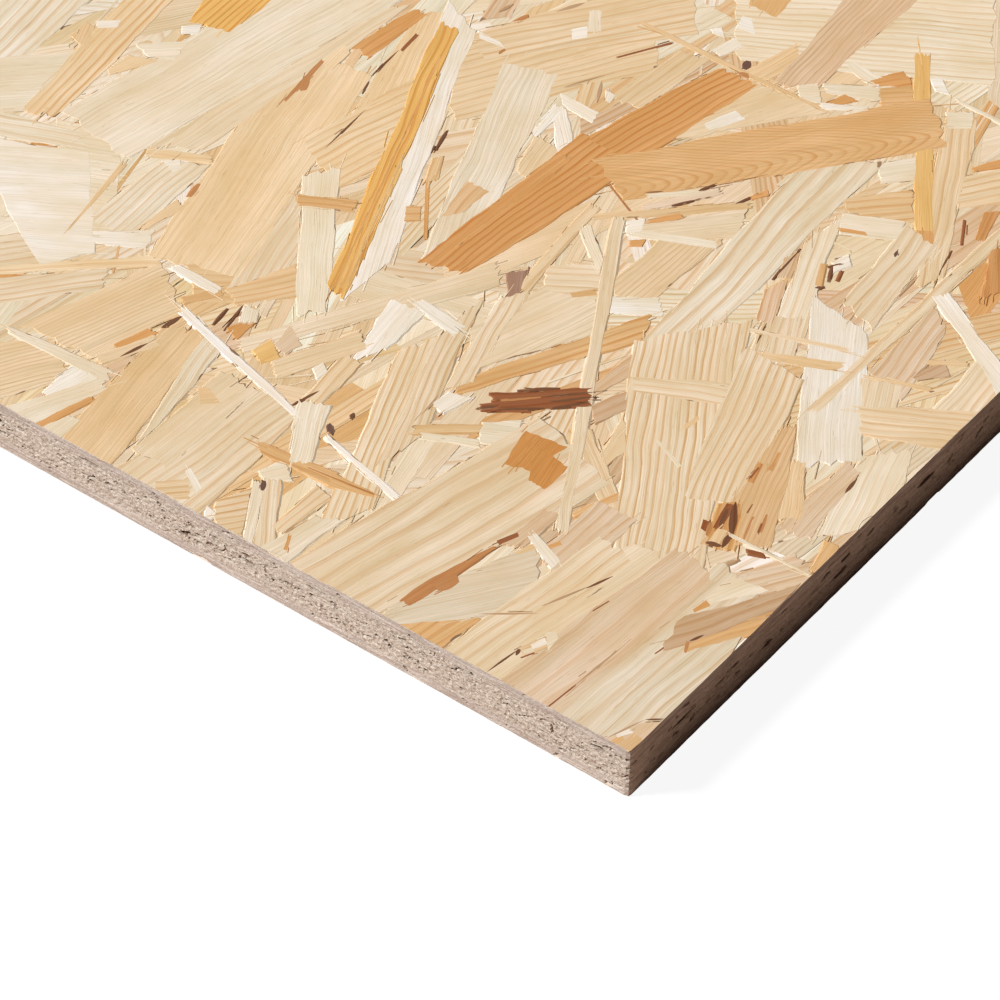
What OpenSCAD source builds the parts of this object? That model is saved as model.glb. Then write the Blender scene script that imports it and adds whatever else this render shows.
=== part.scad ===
// Square-edged sheet of oriented strand board, lying flat.
// The origin is the middle of the underside. X runs along the sheet's length,
// which is also the main direction of the face strands, and Z is up.

/* [Sheet] */
// Length of the sheet
sheet_length = 2440; // [600:10:3050]
// Width of the sheet
sheet_width = 1220; // [300:10:1525]
// Thickness of the sheet
sheet_thickness = 18; // [9:1:30]

/* [Voids in the sawn edges] */
// Mean distance from one void to the next along an edge
void_pitch = 42; // [25:1:120]
// Length of the longest void along the edge
void_length = 13; // [4:0.5:20]
// Height of the tallest void
void_height = 1.8; // [0.6:0.1:3]
// How far a void runs in from the edge
void_depth = 4; // [1:0.5:12]
// Dense face layer above and below the core, which shows no voids
face_layer = 3; // [1:0.5:4]

/* [Chips on the arrises] */
// Mean distance from one chip to the next along an arris
chip_pitch = 240; // [80:10:600]
// Radius of the scoop that a chip leaves
chip_radius = 9; // [4:0.5:20]
// Depth of the deepest chip, square to the arris
chip_depth = 1.2; // [0.3:0.1:2]

/* [Hidden] */
$fn = 48;
// Share of the longest and the tallest void that the smallest one keeps
void_least = 0.35;
// Share of the deepest chip that the shallowest one keeps
chip_least = 0.3;
// Share of a pitch by which a void or a chip may leave its even place
stray = 0.7;
// Extra reach of a cutter past the face that it cuts
overcut = 1;
board_colour = [0.86, 0.71, 0.50];

// The four sawn edges: turn about Z, length along the edge, distance from the middle, key
EDGES = [
    [0, sheet_length, sheet_width / 2, 1],
    [90, sheet_width, sheet_length / 2, 2],
    [180, sheet_length, sheet_width / 2, 3],
    [270, sheet_width, sheet_length / 2, 4]
];

// Repeatable number from 0 to 1 for the item-th cut of an edge; draw tells its uses apart
function chance(key, item, draw) =
    let (wave = 997 * sin(key * 71.3 + item * 37.7 + draw * 113.9 + item * item * 0.61))
    wave - floor(wave);

function between(low, high, share) = low + (high - low) * share;

// Places along a run at an even pitch, each strayed a little, clear of both ends
function places(run, pitch, key, draw) =
    let (count = floor(run / pitch), step = run / count)
    [for (i = [0 : count - 1])
        (i + 0.5 + stray * (chance(key, i, draw) - 0.5)) * step - run / 2];

// Outline of a gap between two strands that bow apart: two arcs on one chord
module lens(length, height) {
    radius = (length * length + height * height) / (4 * height);
    intersection() {
        translate([0, height / 2 - radius]) circle(radius);
        translate([0, radius - height / 2]) circle(radius);
    }
}

// Voids along the edge on the plane Y = 0, with the board on the +Y side
module edge_voids(run, key) {
    core = sheet_thickness - 2 * face_layer;
    spots = places(run, void_pitch, key, 1);
    for (i = [0 : len(spots) - 1]) {
        length = void_length * between(void_least, 1, chance(key, i, 2));
        height = void_height * between(void_least, 1, chance(key, i, 3));
        depth = void_depth * between(void_least, 1, chance(key, i, 4));
        level = face_layer + between(height / 2, core - height / 2, chance(key, i, 5));
        translate([spots[i], depth, level])
            rotate([90, 0, 0])
                linear_extrude(depth + overcut)
                    lens(length, height);
    }
}

// Scooped chips along one arris of that edge; side is 1 for the top arris, -1 for the lower
module arris_chips(run, key, side) {
    arris = side > 0 ? sheet_thickness : 0;
    spots = places(run, chip_pitch, key, 6 + side);
    for (i = [0 : len(spots) - 1]) {
        depth = chip_depth * between(chip_least, 1, chance(key, i, 8 + side));
        reach = (chip_radius - depth) / sqrt(2);
        translate([spots[i], -reach, arris + side * reach])
            sphere(chip_radius);
    }
}

module osb_panel() {
    color(board_colour)
        difference() {
            translate([-sheet_length / 2, -sheet_width / 2, 0])
                cube([sheet_length, sheet_width, sheet_thickness]);
            for (edge = EDGES)
                rotate([0, 0, edge[0]])
                    translate([0, -edge[2], 0]) {
                        edge_voids(edge[1], edge[3]);
                        arris_chips(edge[1], edge[3], 1);
                        arris_chips(edge[1], edge[3], -1);
                    }
        }
}

osb_panel();
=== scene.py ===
"""One square-edged sheet of oriented strand board, seen at its near corner.

The faces are built of single strands, the four sawn edges of relief strips with voids and pits.
Lengths are in millimetres in the sheet's frame; meshes are written in metres.
"""

import logging
import math
from dataclasses import dataclass
from enum import Enum

import bpy
import numpy as np
from mathutils import Matrix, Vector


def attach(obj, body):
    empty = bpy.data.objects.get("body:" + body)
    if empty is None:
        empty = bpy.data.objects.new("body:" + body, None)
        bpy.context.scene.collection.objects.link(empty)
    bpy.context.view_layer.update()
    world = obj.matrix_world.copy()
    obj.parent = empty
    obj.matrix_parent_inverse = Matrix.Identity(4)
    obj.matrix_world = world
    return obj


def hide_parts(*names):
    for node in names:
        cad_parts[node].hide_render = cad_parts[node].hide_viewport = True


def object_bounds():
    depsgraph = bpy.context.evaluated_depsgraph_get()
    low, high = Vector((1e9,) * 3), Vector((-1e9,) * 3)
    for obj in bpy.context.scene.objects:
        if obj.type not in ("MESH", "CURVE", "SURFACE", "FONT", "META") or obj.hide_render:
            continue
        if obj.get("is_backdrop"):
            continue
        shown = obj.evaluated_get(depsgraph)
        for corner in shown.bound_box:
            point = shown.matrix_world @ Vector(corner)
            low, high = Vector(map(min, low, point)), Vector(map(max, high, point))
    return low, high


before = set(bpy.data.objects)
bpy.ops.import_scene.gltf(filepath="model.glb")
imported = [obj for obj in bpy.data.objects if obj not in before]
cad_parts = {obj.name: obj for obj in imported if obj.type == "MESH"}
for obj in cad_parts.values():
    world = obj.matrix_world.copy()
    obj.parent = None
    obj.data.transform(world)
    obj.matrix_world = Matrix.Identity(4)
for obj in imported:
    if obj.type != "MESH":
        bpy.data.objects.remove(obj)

Array = np.ndarray
Socket = bpy.types.NodeSocket
Quad = tuple[float, float, float, float, float, float, float, float]
Colour = tuple[float, float, float, float]

LOG = logging.getLogger("osb_panel")
MM = 0.001
METRE = 1000.0
LENGTH, WIDTH, THICK = (round((end - start) / MM, 2) for start, end in zip(*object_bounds()))
SEED = 4487
STRAY = 0.7
NODE = "osb_panel"
FIELD_KINDS = {1: ("FLOAT", "value"), 3: ("FLOAT_VECTOR", "vector"), 4: ("FLOAT_COLOR", "color")}


class Tone(Enum):
    """Colour of a strand, as it looks in even light, in sRGB steps of 255; the crack and seam tones are
    painted shade for narrow gaps between strands.
    """

    WHITE = (246, 232, 213)
    PALE = (239, 220, 191)
    CREAM = (236, 212, 178)
    STRAW = (234, 205, 165)
    HONEY = (232, 196, 149)
    TAN = (225, 179, 124)
    GOLD = (236, 184, 106)
    YELLOW = (237, 191, 123)
    ORANGE = (219, 161, 100)
    RUST = (192, 133, 83)
    BARK = (148, 90, 54)
    MAUVE = (223, 190, 154)
    DUN = (208, 174, 139)
    WHEAT = (224, 186, 140)
    CHAR = (104, 74, 60)
    # Painted shade: the crack tone, and the seam tone below, colour thin strands laid where a gap between
    # strands lies in shadow.
    CRACK_SHADE = (112, 72, 46)
    COPPER = (209, 152, 95)
    PEACH = (242, 210, 167)
    CARAMEL = (206, 143, 78)
    UMBER = (168, 130, 108)
    PINK = (227, 198, 165)
    ASH = (229, 209, 180)
    SEAM_SHADE = (190, 153, 116)

    def linear(self) -> Array:
        """Gives the tone as linear light.

        Returns:
            Red, green and blue from 0 to 1.
        """
        share = np.asarray(self.value) / 255.0
        return np.where(share > 0.04045, ((share + 0.055) / 1.055) ** 2.4, share / 12.92)


class Grain(Enum):
    """Figure of a strand: growth rings in a metre across it, their contrast and their arching."""

    PLAIN = (90.0, 0.10, 0.0)
    FINE = (420.0, 0.30, 0.0)
    LINES = (330.0, 0.65, 0.0)
    STRIPED = (390.0, 1.0, 0.0)
    BROAD = (190.0, 0.72, 0.0)
    SOFT = (125.0, 0.42, 0.0)
    DENSE = (620.0, 0.60, 0.0)
    ARCHED = (640.0, 0.70, 1.0)


@dataclass(frozen=True)
class Strand:
    """One strand read off the near corner.

    The quad holds image points: both corners of the first end, then both corners of the second,
    each side's points in the same order.
    """

    quad: Quad
    tone: Tone
    grain: Grain = Grain.PLAIN


@dataclass(frozen=True)
class CornerCamera:
    """The view on the near corner, with its place set by the sheet's arrises."""

    corner: tuple[float, float, float] = (-LENGTH / 2, -WIDTH / 2, 0.0)
    image: int = 1000
    focal: float = 5000.0
    sensor: float = 36.0
    azimuth: float = -53.54
    elevation: float = 43.73
    roll: float = 1.02
    offset: tuple[float, float, float] = (35.0, -81.0, -1358.9)

    def axes(self) -> Array:
        """Gives the camera's axes in the sheet's frame.

        Returns:
            Rows for right, up and back.
        """
        turn = math.radians(self.azimuth)
        lift = math.radians(self.elevation)
        tip = math.radians(self.roll)
        back = np.array(
            [
                math.sin(turn) * math.cos(lift),
                -math.cos(turn) * math.cos(lift),
                math.sin(lift),
            ]
        )
        level = np.array([math.cos(turn), math.sin(turn), 0.0])
        raised = np.cross(back, level)
        right = math.cos(tip) * level + math.sin(tip) * raised
        up = -math.sin(tip) * level + math.cos(tip) * raised
        return np.array([right, up, back])

    def position(self) -> Array:
        """Gives the camera's place.

        Returns:
            The point in the sheet's frame.
        """
        return np.asarray(self.corner) - np.asarray(self.offset) @ self.axes()

    def cast(self, points: Array, normal: Array, offset: float) -> Array:
        """Casts image points onto a plane: each ray is cut where its way along the normal is the offset.

        Args:
            points: Image points, with x and y in the last axis.
            normal: Way square to the plane.
            offset: Distance of the plane from the origin along that way.

        Returns:
            Points x, y and z on the plane, in the same order.
        """
        half = self.image / 2
        across = (points[..., 0] - half) / self.focal
        down = (points[..., 1] - half) / self.focal
        local = np.stack([across, -down, -np.ones_like(across)], axis=-1)
        rays = local @ self.axes()
        eye = self.position()
        reach = (offset - eye @ normal) / (rays @ normal)
        return eye + rays * reach[..., None]

    def place(self) -> bpy.types.Object:
        """Makes the scene's camera.

        Returns:
            The camera object.
        """
        data = bpy.data.cameras.new("corner_view")
        data.sensor_width = self.sensor
        data.lens = self.sensor * self.focal / self.image
        data.clip_start = 0.01
        data.clip_end = 500.0
        camera = bpy.data.objects.new("corner_view", data)
        axes = self.axes()
        matrix = np.eye(4)
        matrix[:3, :3] = axes.T
        matrix[:3, 3] = self.position() * MM
        camera.matrix_world = Matrix(matrix.tolist())
        bpy.context.scene.collection.objects.link(camera)
        bpy.context.scene.camera = camera
        return camera


def make_piece(
    name: str,
    points: Array,
    faces: Array,
    material: bpy.types.Material,
    fields: dict[str, Array],
    spread: Array,
) -> bpy.types.Object:
    """Writes a mesh of quads and ties it to the sheet.

    Args:
        name: Name of the piece.
        points: Corner points in millimetres.
        faces: Four point numbers to a face.
        material: Finish of the piece.
        fields: Values to each point by name: one, three or four numbers a point.
        spread: Texture place of each point, from 0 to 1.

    Returns:
        The new object.
    """
    mesh = bpy.data.meshes.new(name)
    mesh.vertices.add(len(points))
    mesh.vertices.foreach_set("co", (points * MM).astype(np.float32).ravel())
    mesh.loops.add(faces.size)
    mesh.loops.foreach_set("vertex_index", faces.astype(np.int32).ravel())
    mesh.polygons.add(len(faces))
    mesh.polygons.foreach_set("loop_start", np.arange(0, faces.size, 4, dtype=np.int32))
    mesh.update(calc_edges=True)
    mesh.shade_flat()
    for label, values in fields.items():
        size = 1 if values.ndim == 1 else values.shape[1]
        kind, key = FIELD_KINDS[size]
        layer = mesh.attributes.new(label, kind, "POINT")
        layer.data.foreach_set(key, values.astype(np.float32).ravel())
    uv_layer = mesh.uv_layers.new(name="OFBake")
    uv_layer.data.foreach_set("uv", spread[faces.ravel()].astype(np.float32).ravel())
    mesh.materials.append(material)
    piece = bpy.data.objects.new(name, mesh)
    bpy.context.scene.collection.objects.link(piece)
    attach(piece, "root")
    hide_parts(NODE)
    LOG.info("%s: %d faces", name, len(faces))
    return piece


class Nodes:
    """Short calls that build one node tree."""

    def __init__(self, tree: bpy.types.NodeTree) -> None:
        """Takes the tree to build in.

        Args:
            tree: Node tree of a material, world or group.

        Returns:
            None.
        """
        self.tree = tree

    def add(self, kind: str, **settings: object) -> bpy.types.Node:
        """Adds a node.

        Args:
            kind: Type of the node.
            **settings: Properties of the node.

        Returns:
            The node.
        """
        node = self.tree.nodes.new(kind)
        for key, value in settings.items():
            setattr(node, key, value)
        return node

    def feed(self, socket: Socket, value: object) -> None:
        """Links a socket to another, or sets its value.

        Args:
            socket: Input socket.
            value: Output socket, number or tuple.

        Returns:
            None.
        """
        if isinstance(value, bpy.types.NodeSocket):
            self.tree.links.new(value, socket)
        else:
            socket.default_value = value

    def math(self, operation: str, *values: object) -> Socket:
        """Adds a sum.

        Args:
            operation: Name of the operation.
            *values: Its terms, sockets or numbers.

        Returns:
            The result.
        """
        node = self.add("ShaderNodeMath", operation=operation)
        for socket, value in zip(node.inputs, values):
            self.feed(socket, value)
        return node.outputs[0]

    def vector(self, x: object, y: object, z: object) -> Socket:
        """Joins three numbers.

        Args:
            x: First number.
            y: Second number.
            z: Third number.

        Returns:
            The vector.
        """
        node = self.add("ShaderNodeCombineXYZ")
        for socket, value in zip(node.inputs, (x, y, z)):
            self.feed(socket, value)
        return node.outputs[0]

    def parts(self, vector: Socket) -> tuple[Socket, Socket, Socket]:
        """Splits a vector.

        Args:
            vector: The vector.

        Returns:
            Its three numbers.
        """
        node = self.add("ShaderNodeSeparateXYZ")
        self.feed(node.inputs[0], vector)
        return node.outputs[0], node.outputs[1], node.outputs[2]

    def noise(self, vector: Socket, detail: float = 2.0, roughness: float = 0.5) -> Socket:
        """Adds smooth noise whose waves are one unit long.

        Args:
            vector: Place in the noise.
            detail: Number of finer waves.
            roughness: Strength of the finer waves.

        Returns:
            A number from 0 to 1.
        """
        node = self.add("ShaderNodeTexNoise")
        self.feed(node.inputs["Vector"], vector)
        node.inputs["Scale"].default_value = 1.0
        node.inputs["Detail"].default_value = detail
        node.inputs["Roughness"].default_value = roughness
        return node.outputs[0]

    def spot(self, place: tuple[Socket, ...], rate: tuple[float, float], shift: float = 0.0) -> Socket:
        """Stretches a place for a noise.

        Args:
            place: Way along, way across and seed.
            rate: Waves to a unit along and across.
            shift: Keeps one use of the noise apart from the others.

        Returns:
            The place in the noise.
        """
        along, across, seed = place
        run = self.math("MULTIPLY", along, rate[0])
        width = self.math("MULTIPLY", across, rate[1])
        return self.vector(run, width, self.math("ADD", seed, shift))

    def bump(self, height: Socket, strength: float, distance: float) -> Socket:
        """Adds fine relief.

        Args:
            height: Height of the relief.
            strength: How much of it shows.
            distance: Height that 1 stands for, in metres.

        Returns:
            The bent normal.
        """
        node = self.add("ShaderNodeBump")
        node.inputs["Strength"].default_value = strength
        node.inputs["Distance"].default_value = distance
        self.feed(node.inputs["Height"], height)
        return node.outputs["Normal"]

    def step(self, value: Socket, low: float, high: float) -> Socket:
        """Adds a smooth step, from 0 at low to 1 at high; it falls where low is the greater.

        Args:
            value: The number.
            low: Where the step starts.
            high: Where it ends.

        Returns:
            A number from 0 to 1.
        """
        node = self.add("ShaderNodeMapRange", interpolation_type="SMOOTHSTEP")
        self.feed(node.inputs["Value"], value)
        node.inputs["From Min"].default_value = min(low, high)
        node.inputs["From Max"].default_value = max(low, high)
        node.inputs["To Min"].default_value = 0.0 if low < high else 1.0
        node.inputs["To Max"].default_value = 1.0 if low < high else 0.0
        return node.outputs[0]

    def blend(self, share: object, first: object, second: object, kind: str = "MIX") -> Socket:
        """Mixes two colours.

        Args:
            share: Share of the second colour.
            first: First colour.
            second: Second colour.
            kind: Way of mixing.

        Returns:
            The mixed colour.
        """
        node = self.add("ShaderNodeMix", data_type="RGBA", blend_type=kind)
        self.feed(node.inputs["Factor"], share)
        self.feed(node.inputs[6], first)
        self.feed(node.inputs[7], second)
        return node.outputs[2]

    def attribute(self, name: str, output: str) -> Socket:
        """Reads a field of the mesh.

        Args:
            name: Name of the field.
            output: Vector, Color or Fac.

        Returns:
            The value.
        """
        node = self.add("ShaderNodeAttribute", attribute_name=name)
        return node.outputs[output]


def start_finish(name: str) -> tuple[bpy.types.Material, Nodes, bpy.types.Node]:
    """Starts a material.

    Args:
        name: Name of the material.

    Returns:
        The material, the builder of its tree and its shader.
    """
    material = bpy.data.materials.new(name)
    material.use_nodes = True
    return material, Nodes(material.node_tree), material.node_tree.nodes["Principled BSDF"]


@dataclass(frozen=True)
class FibreGroup:
    """Shared effect: wood fibres that run along the first axis of the place it is given.

    Pairs are shares of the fibres' own rate along and across; shifts keep the noises apart.
    """

    streak: tuple[float, float] = (0.25, 0.06)
    fibre: tuple[float, float] = (1.0, 1.0)
    pore: tuple[float, float] = (5.0, 1.2)
    cloud: tuple[float, float] = (0.8, 0.024)
    fibre_shift: float = 3.7
    pore_shift: float = 9.1
    cloud_shift: float = 15.3
    pore_step: tuple[float, float] = (0.66, 0.76)
    rough: float = 0.6

    def build(self) -> bpy.types.NodeTree:
        """Builds the node group.

        Inputs are the place (along, across, seed, in metres) and the fibres' length and width;
        outputs are broad streaks, fine fibres, short pores and soft clouds, each from 0 to 1.

        Returns:
            The group.
        """
        tree = bpy.data.node_groups.new("wood_fibre", "ShaderNodeTree")
        face = tree.interface
        face.new_socket("Place", in_out="INPUT", socket_type="NodeSocketVector")
        face.new_socket("Along", in_out="INPUT", socket_type="NodeSocketFloat")
        face.new_socket("Across", in_out="INPUT", socket_type="NodeSocketFloat")
        for name in ("Streak", "Fibre", "Pore", "Cloud"):
            face.new_socket(name, in_out="OUTPUT", socket_type="NodeSocketFloat")
        nodes = Nodes(tree)
        entry = nodes.add("NodeGroupInput")
        leave = nodes.add("NodeGroupOutput")
        along, across, seed = nodes.parts(entry.outputs["Place"])
        run = nodes.math("MULTIPLY", along, entry.outputs["Along"])
        width = nodes.math("MULTIPLY", across, entry.outputs["Across"])
        place = (run, width, seed)
        cloud = nodes.noise(nodes.spot(place, self.cloud, self.cloud_shift), 3.0, self.rough)
        fibre = nodes.noise(nodes.spot(place, self.fibre, self.fibre_shift), 3.0, self.rough)
        pore = nodes.noise(nodes.spot(place, self.pore, self.pore_shift), 1.0)
        nodes.feed(leave.inputs["Cloud"], cloud)
        nodes.feed(leave.inputs["Streak"], nodes.noise(nodes.spot(place, self.streak), 2.0))
        nodes.feed(leave.inputs["Fibre"], fibre)
        nodes.feed(leave.inputs["Pore"], nodes.step(pore, *self.pore_step))
        return tree


@dataclass(frozen=True)
class StrandFinish:
    """Raw wood of the face strands: tint to a strand, growth rings, fibres, and painted shade in the
    crevices along strand borders and on the strands' side walls.

    Rates are waves to a metre along and across a strand, and steps are where a change starts and ends.
    Light and warm are shares of streak, fibre and cloud in red light and in blue light.
    """

    fibres: bpy.types.NodeTree
    late_wood: Colour = (0.80, 0.60, 0.38, 1.0)
    pore_wood: Colour = (0.60, 0.44, 0.29, 1.0)
    # Painted shade: dark brown that stands in for the shadow in crevices between strands.
    crevice_shade: Colour = (0.34, 0.20, 0.105, 1.0)
    wander_rate: tuple[float, float] = (11.0, 30.0)
    waver_rate: tuple[float, float] = (60.0, 320.0)
    waver_share: float = 0.12
    wander_share: float = 1.6
    seed_share: float = 3.1
    arch_aside: float = 0.003
    arch_least: float = 0.000016
    arch_slope: float = 0.30
    ring_rise: tuple[float, float] = (0.46, 0.90)
    ring_fall: tuple[float, float] = (1.0, 0.94)
    ring_strength: tuple[float, float] = (0.6, 0.5)
    fade_step: tuple[float, float] = (0.30, 0.55)
    fade: tuple[float, float] = (0.4, 0.6)
    bow_rate: tuple[float, float] = (22.0, 45.0)
    bow: float = 0.006
    fibre_rate: tuple[float, float] = (34.0, 2300.0)
    fibre_cloud: float = 2.5
    light: tuple[float, float, float] = (0.24, 0.52, 0.28)
    warm: tuple[float, float, float] = (0.40, 0.75, 1.0)
    green_cloud: float = 0.24
    pore_share: float = 0.4
    gate_rate: tuple[float, float] = (130.0, 170.0)
    gate_reach: float = 0.0032
    gate_level: float = 0.65
    gap_shade_soft: float = 0.00006
    wall_shade_soft: float = 0.0001
    wall_shade_share: float = 0.2
    roughness: float = 0.62
    gloss: float = 0.25
    bump: float = 0.35
    bump_reach: float = 0.0003
    ring_relief: float = -0.12

    def rings(self, nodes: Nodes, place: tuple[Socket, ...], cloud: Socket) -> Socket:
        """Adds growth rings: a saw wave over the distance across the strand.

        Where the figure is arched the distance is that to a cone's axis, so the rings close in arches.

        Args:
            nodes: Builder of the material's tree.
            place: Along, across and seed of the strand.
            cloud: Soft clouds, which fade the rings in and out.

        Returns:
            Darkness of the late wood from 0 to 1.
        """
        along, across, seed = place
        count, contrast, arch = nodes.parts(nodes.attribute("figure", "Vector"))
        wander = nodes.noise(nodes.spot(place, self.wander_rate), 2.0)
        waver = nodes.noise(nodes.spot(place, self.waver_rate), 1.0)
        wander = nodes.math("MULTIPLY_ADD", waver, self.waver_share, wander)
        aside = nodes.math("ADD", across, self.arch_aside)
        radius = nodes.math("SQRT", nodes.math("MULTIPLY_ADD", aside, aside, self.arch_least))
        cone = nodes.math("MULTIPLY_ADD", along, self.arch_slope, radius)
        bent = nodes.math("MULTIPLY", nodes.math("SUBTRACT", cone, across), arch)
        distance = nodes.math("ADD", across, bent)
        wandered = nodes.math("MULTIPLY", wander, self.wander_share)
        phase = nodes.math("ADD", nodes.math("MULTIPLY", distance, count), wandered)
        phase = nodes.math("ADD", phase, nodes.math("MULTIPLY", seed, self.seed_share))
        share = nodes.math("FRACT", phase)
        rise = nodes.step(share, *self.ring_rise)
        fall = nodes.step(share, *self.ring_fall)
        draw = nodes.add("ShaderNodeTexWhiteNoise", noise_dimensions="1D")
        nodes.feed(draw.inputs["W"], nodes.math("ADD", nodes.math("FLOOR", phase), seed))
        strength = nodes.math("MULTIPLY_ADD", draw.outputs["Value"], *self.ring_strength)
        wave = nodes.math("MULTIPLY", nodes.math("MULTIPLY", rise, fall), strength)
        fade = nodes.math("MULTIPLY_ADD", nodes.step(cloud, *self.fade_step), *self.fade)
        return nodes.math("MULTIPLY", nodes.math("MULTIPLY", wave, contrast), fade)

    def mixed(self, nodes: Nodes, parts: tuple[Socket, ...], shares: tuple[float, ...]) -> Socket:
        """Adds shares of several noises to 1.

        Args:
            nodes: Builder of the material's tree.
            parts: The noises, each about 0.
            shares: Share of each.

        Returns:
            A factor about 1.
        """
        total = 1.0
        for part, share in zip(parts, shares):
            total = nodes.math("MULTIPLY_ADD", part, share, total)
        return total

    def build(self) -> bpy.types.Material:
        """Builds the material.

        Returns:
            The material.
        """
        material, nodes, shader = start_finish("osb_strand")
        tint = nodes.attribute("tint", "Color")
        rim = nodes.attribute("rim", "Fac")
        along, across, seed = nodes.parts(nodes.attribute("grain", "Vector"))
        straight = (along, across, seed)
        bow = nodes.noise(nodes.spot(straight, self.bow_rate), 2.0)
        across = nodes.math("MULTIPLY_ADD", bow, self.bow, across)
        place = (along, across, seed)
        fibres = nodes.add("ShaderNodeGroup", node_tree=self.fibres)
        nodes.feed(fibres.inputs["Place"], nodes.vector(*place))
        fibres.inputs["Along"].default_value = self.fibre_rate[0]
        fibres.inputs["Across"].default_value = self.fibre_rate[1]
        late = self.rings(nodes, place, fibres.outputs["Cloud"])
        dark = nodes.blend(1.0, tint, self.late_wood, "MULTIPLY")
        colour = nodes.blend(late, tint, dark)
        streak = nodes.math("SUBTRACT", fibres.outputs["Streak"], 0.5)
        fibre = nodes.math("SUBTRACT", fibres.outputs["Fibre"], 0.5)
        cloud = nodes.math("SUBTRACT", fibres.outputs["Cloud"], 0.5)
        fibre = nodes.math("MULTIPLY", fibre, nodes.math("MULTIPLY_ADD", cloud, self.fibre_cloud, 1.0))
        light = self.mixed(nodes, (streak, fibre, cloud), self.light)
        warm = self.mixed(nodes, (streak, fibre, cloud), self.warm)
        green = nodes.math("MULTIPLY_ADD", cloud, self.green_cloud, light)
        colour = nodes.blend(1.0, colour, nodes.vector(light, green, warm), "MULTIPLY")
        pored = nodes.blend(1.0, colour, self.pore_wood, "MULTIPLY")
        pores = nodes.math("MULTIPLY", fibres.outputs["Pore"], self.pore_share)
        colour = nodes.blend(pores, colour, pored)
        # Painted shade: noise-gated stretches of the strand borders, and a share of the side walls, are
        # mixed toward the crevice shade colour.
        gate = nodes.noise(nodes.spot(place, self.gate_rate), 2.0)
        level = self.gate_reach * self.gate_level
        reach = nodes.math("MULTIPLY_ADD", gate, -self.gate_reach, level)
        gap = nodes.step(nodes.math("ADD", rim, reach), self.gap_shade_soft, -self.gap_shade_soft)
        side = nodes.step(rim, 0.0, -self.wall_shade_soft)
        gap = nodes.math("MAXIMUM", gap, nodes.math("MULTIPLY", side, self.wall_shade_share))
        colour = nodes.blend(gap, colour, self.crevice_shade)
        nodes.feed(shader.inputs["Base Color"], colour)
        shader.inputs["Roughness"].default_value = self.roughness
        shader.inputs["Specular IOR Level"].default_value = self.gloss
        height = nodes.math("MULTIPLY_ADD", late, self.ring_relief, fibres.outputs["Fibre"])
        nodes.feed(shader.inputs["Normal"], nodes.bump(height, self.bump, self.bump_reach))
        return material


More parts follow.
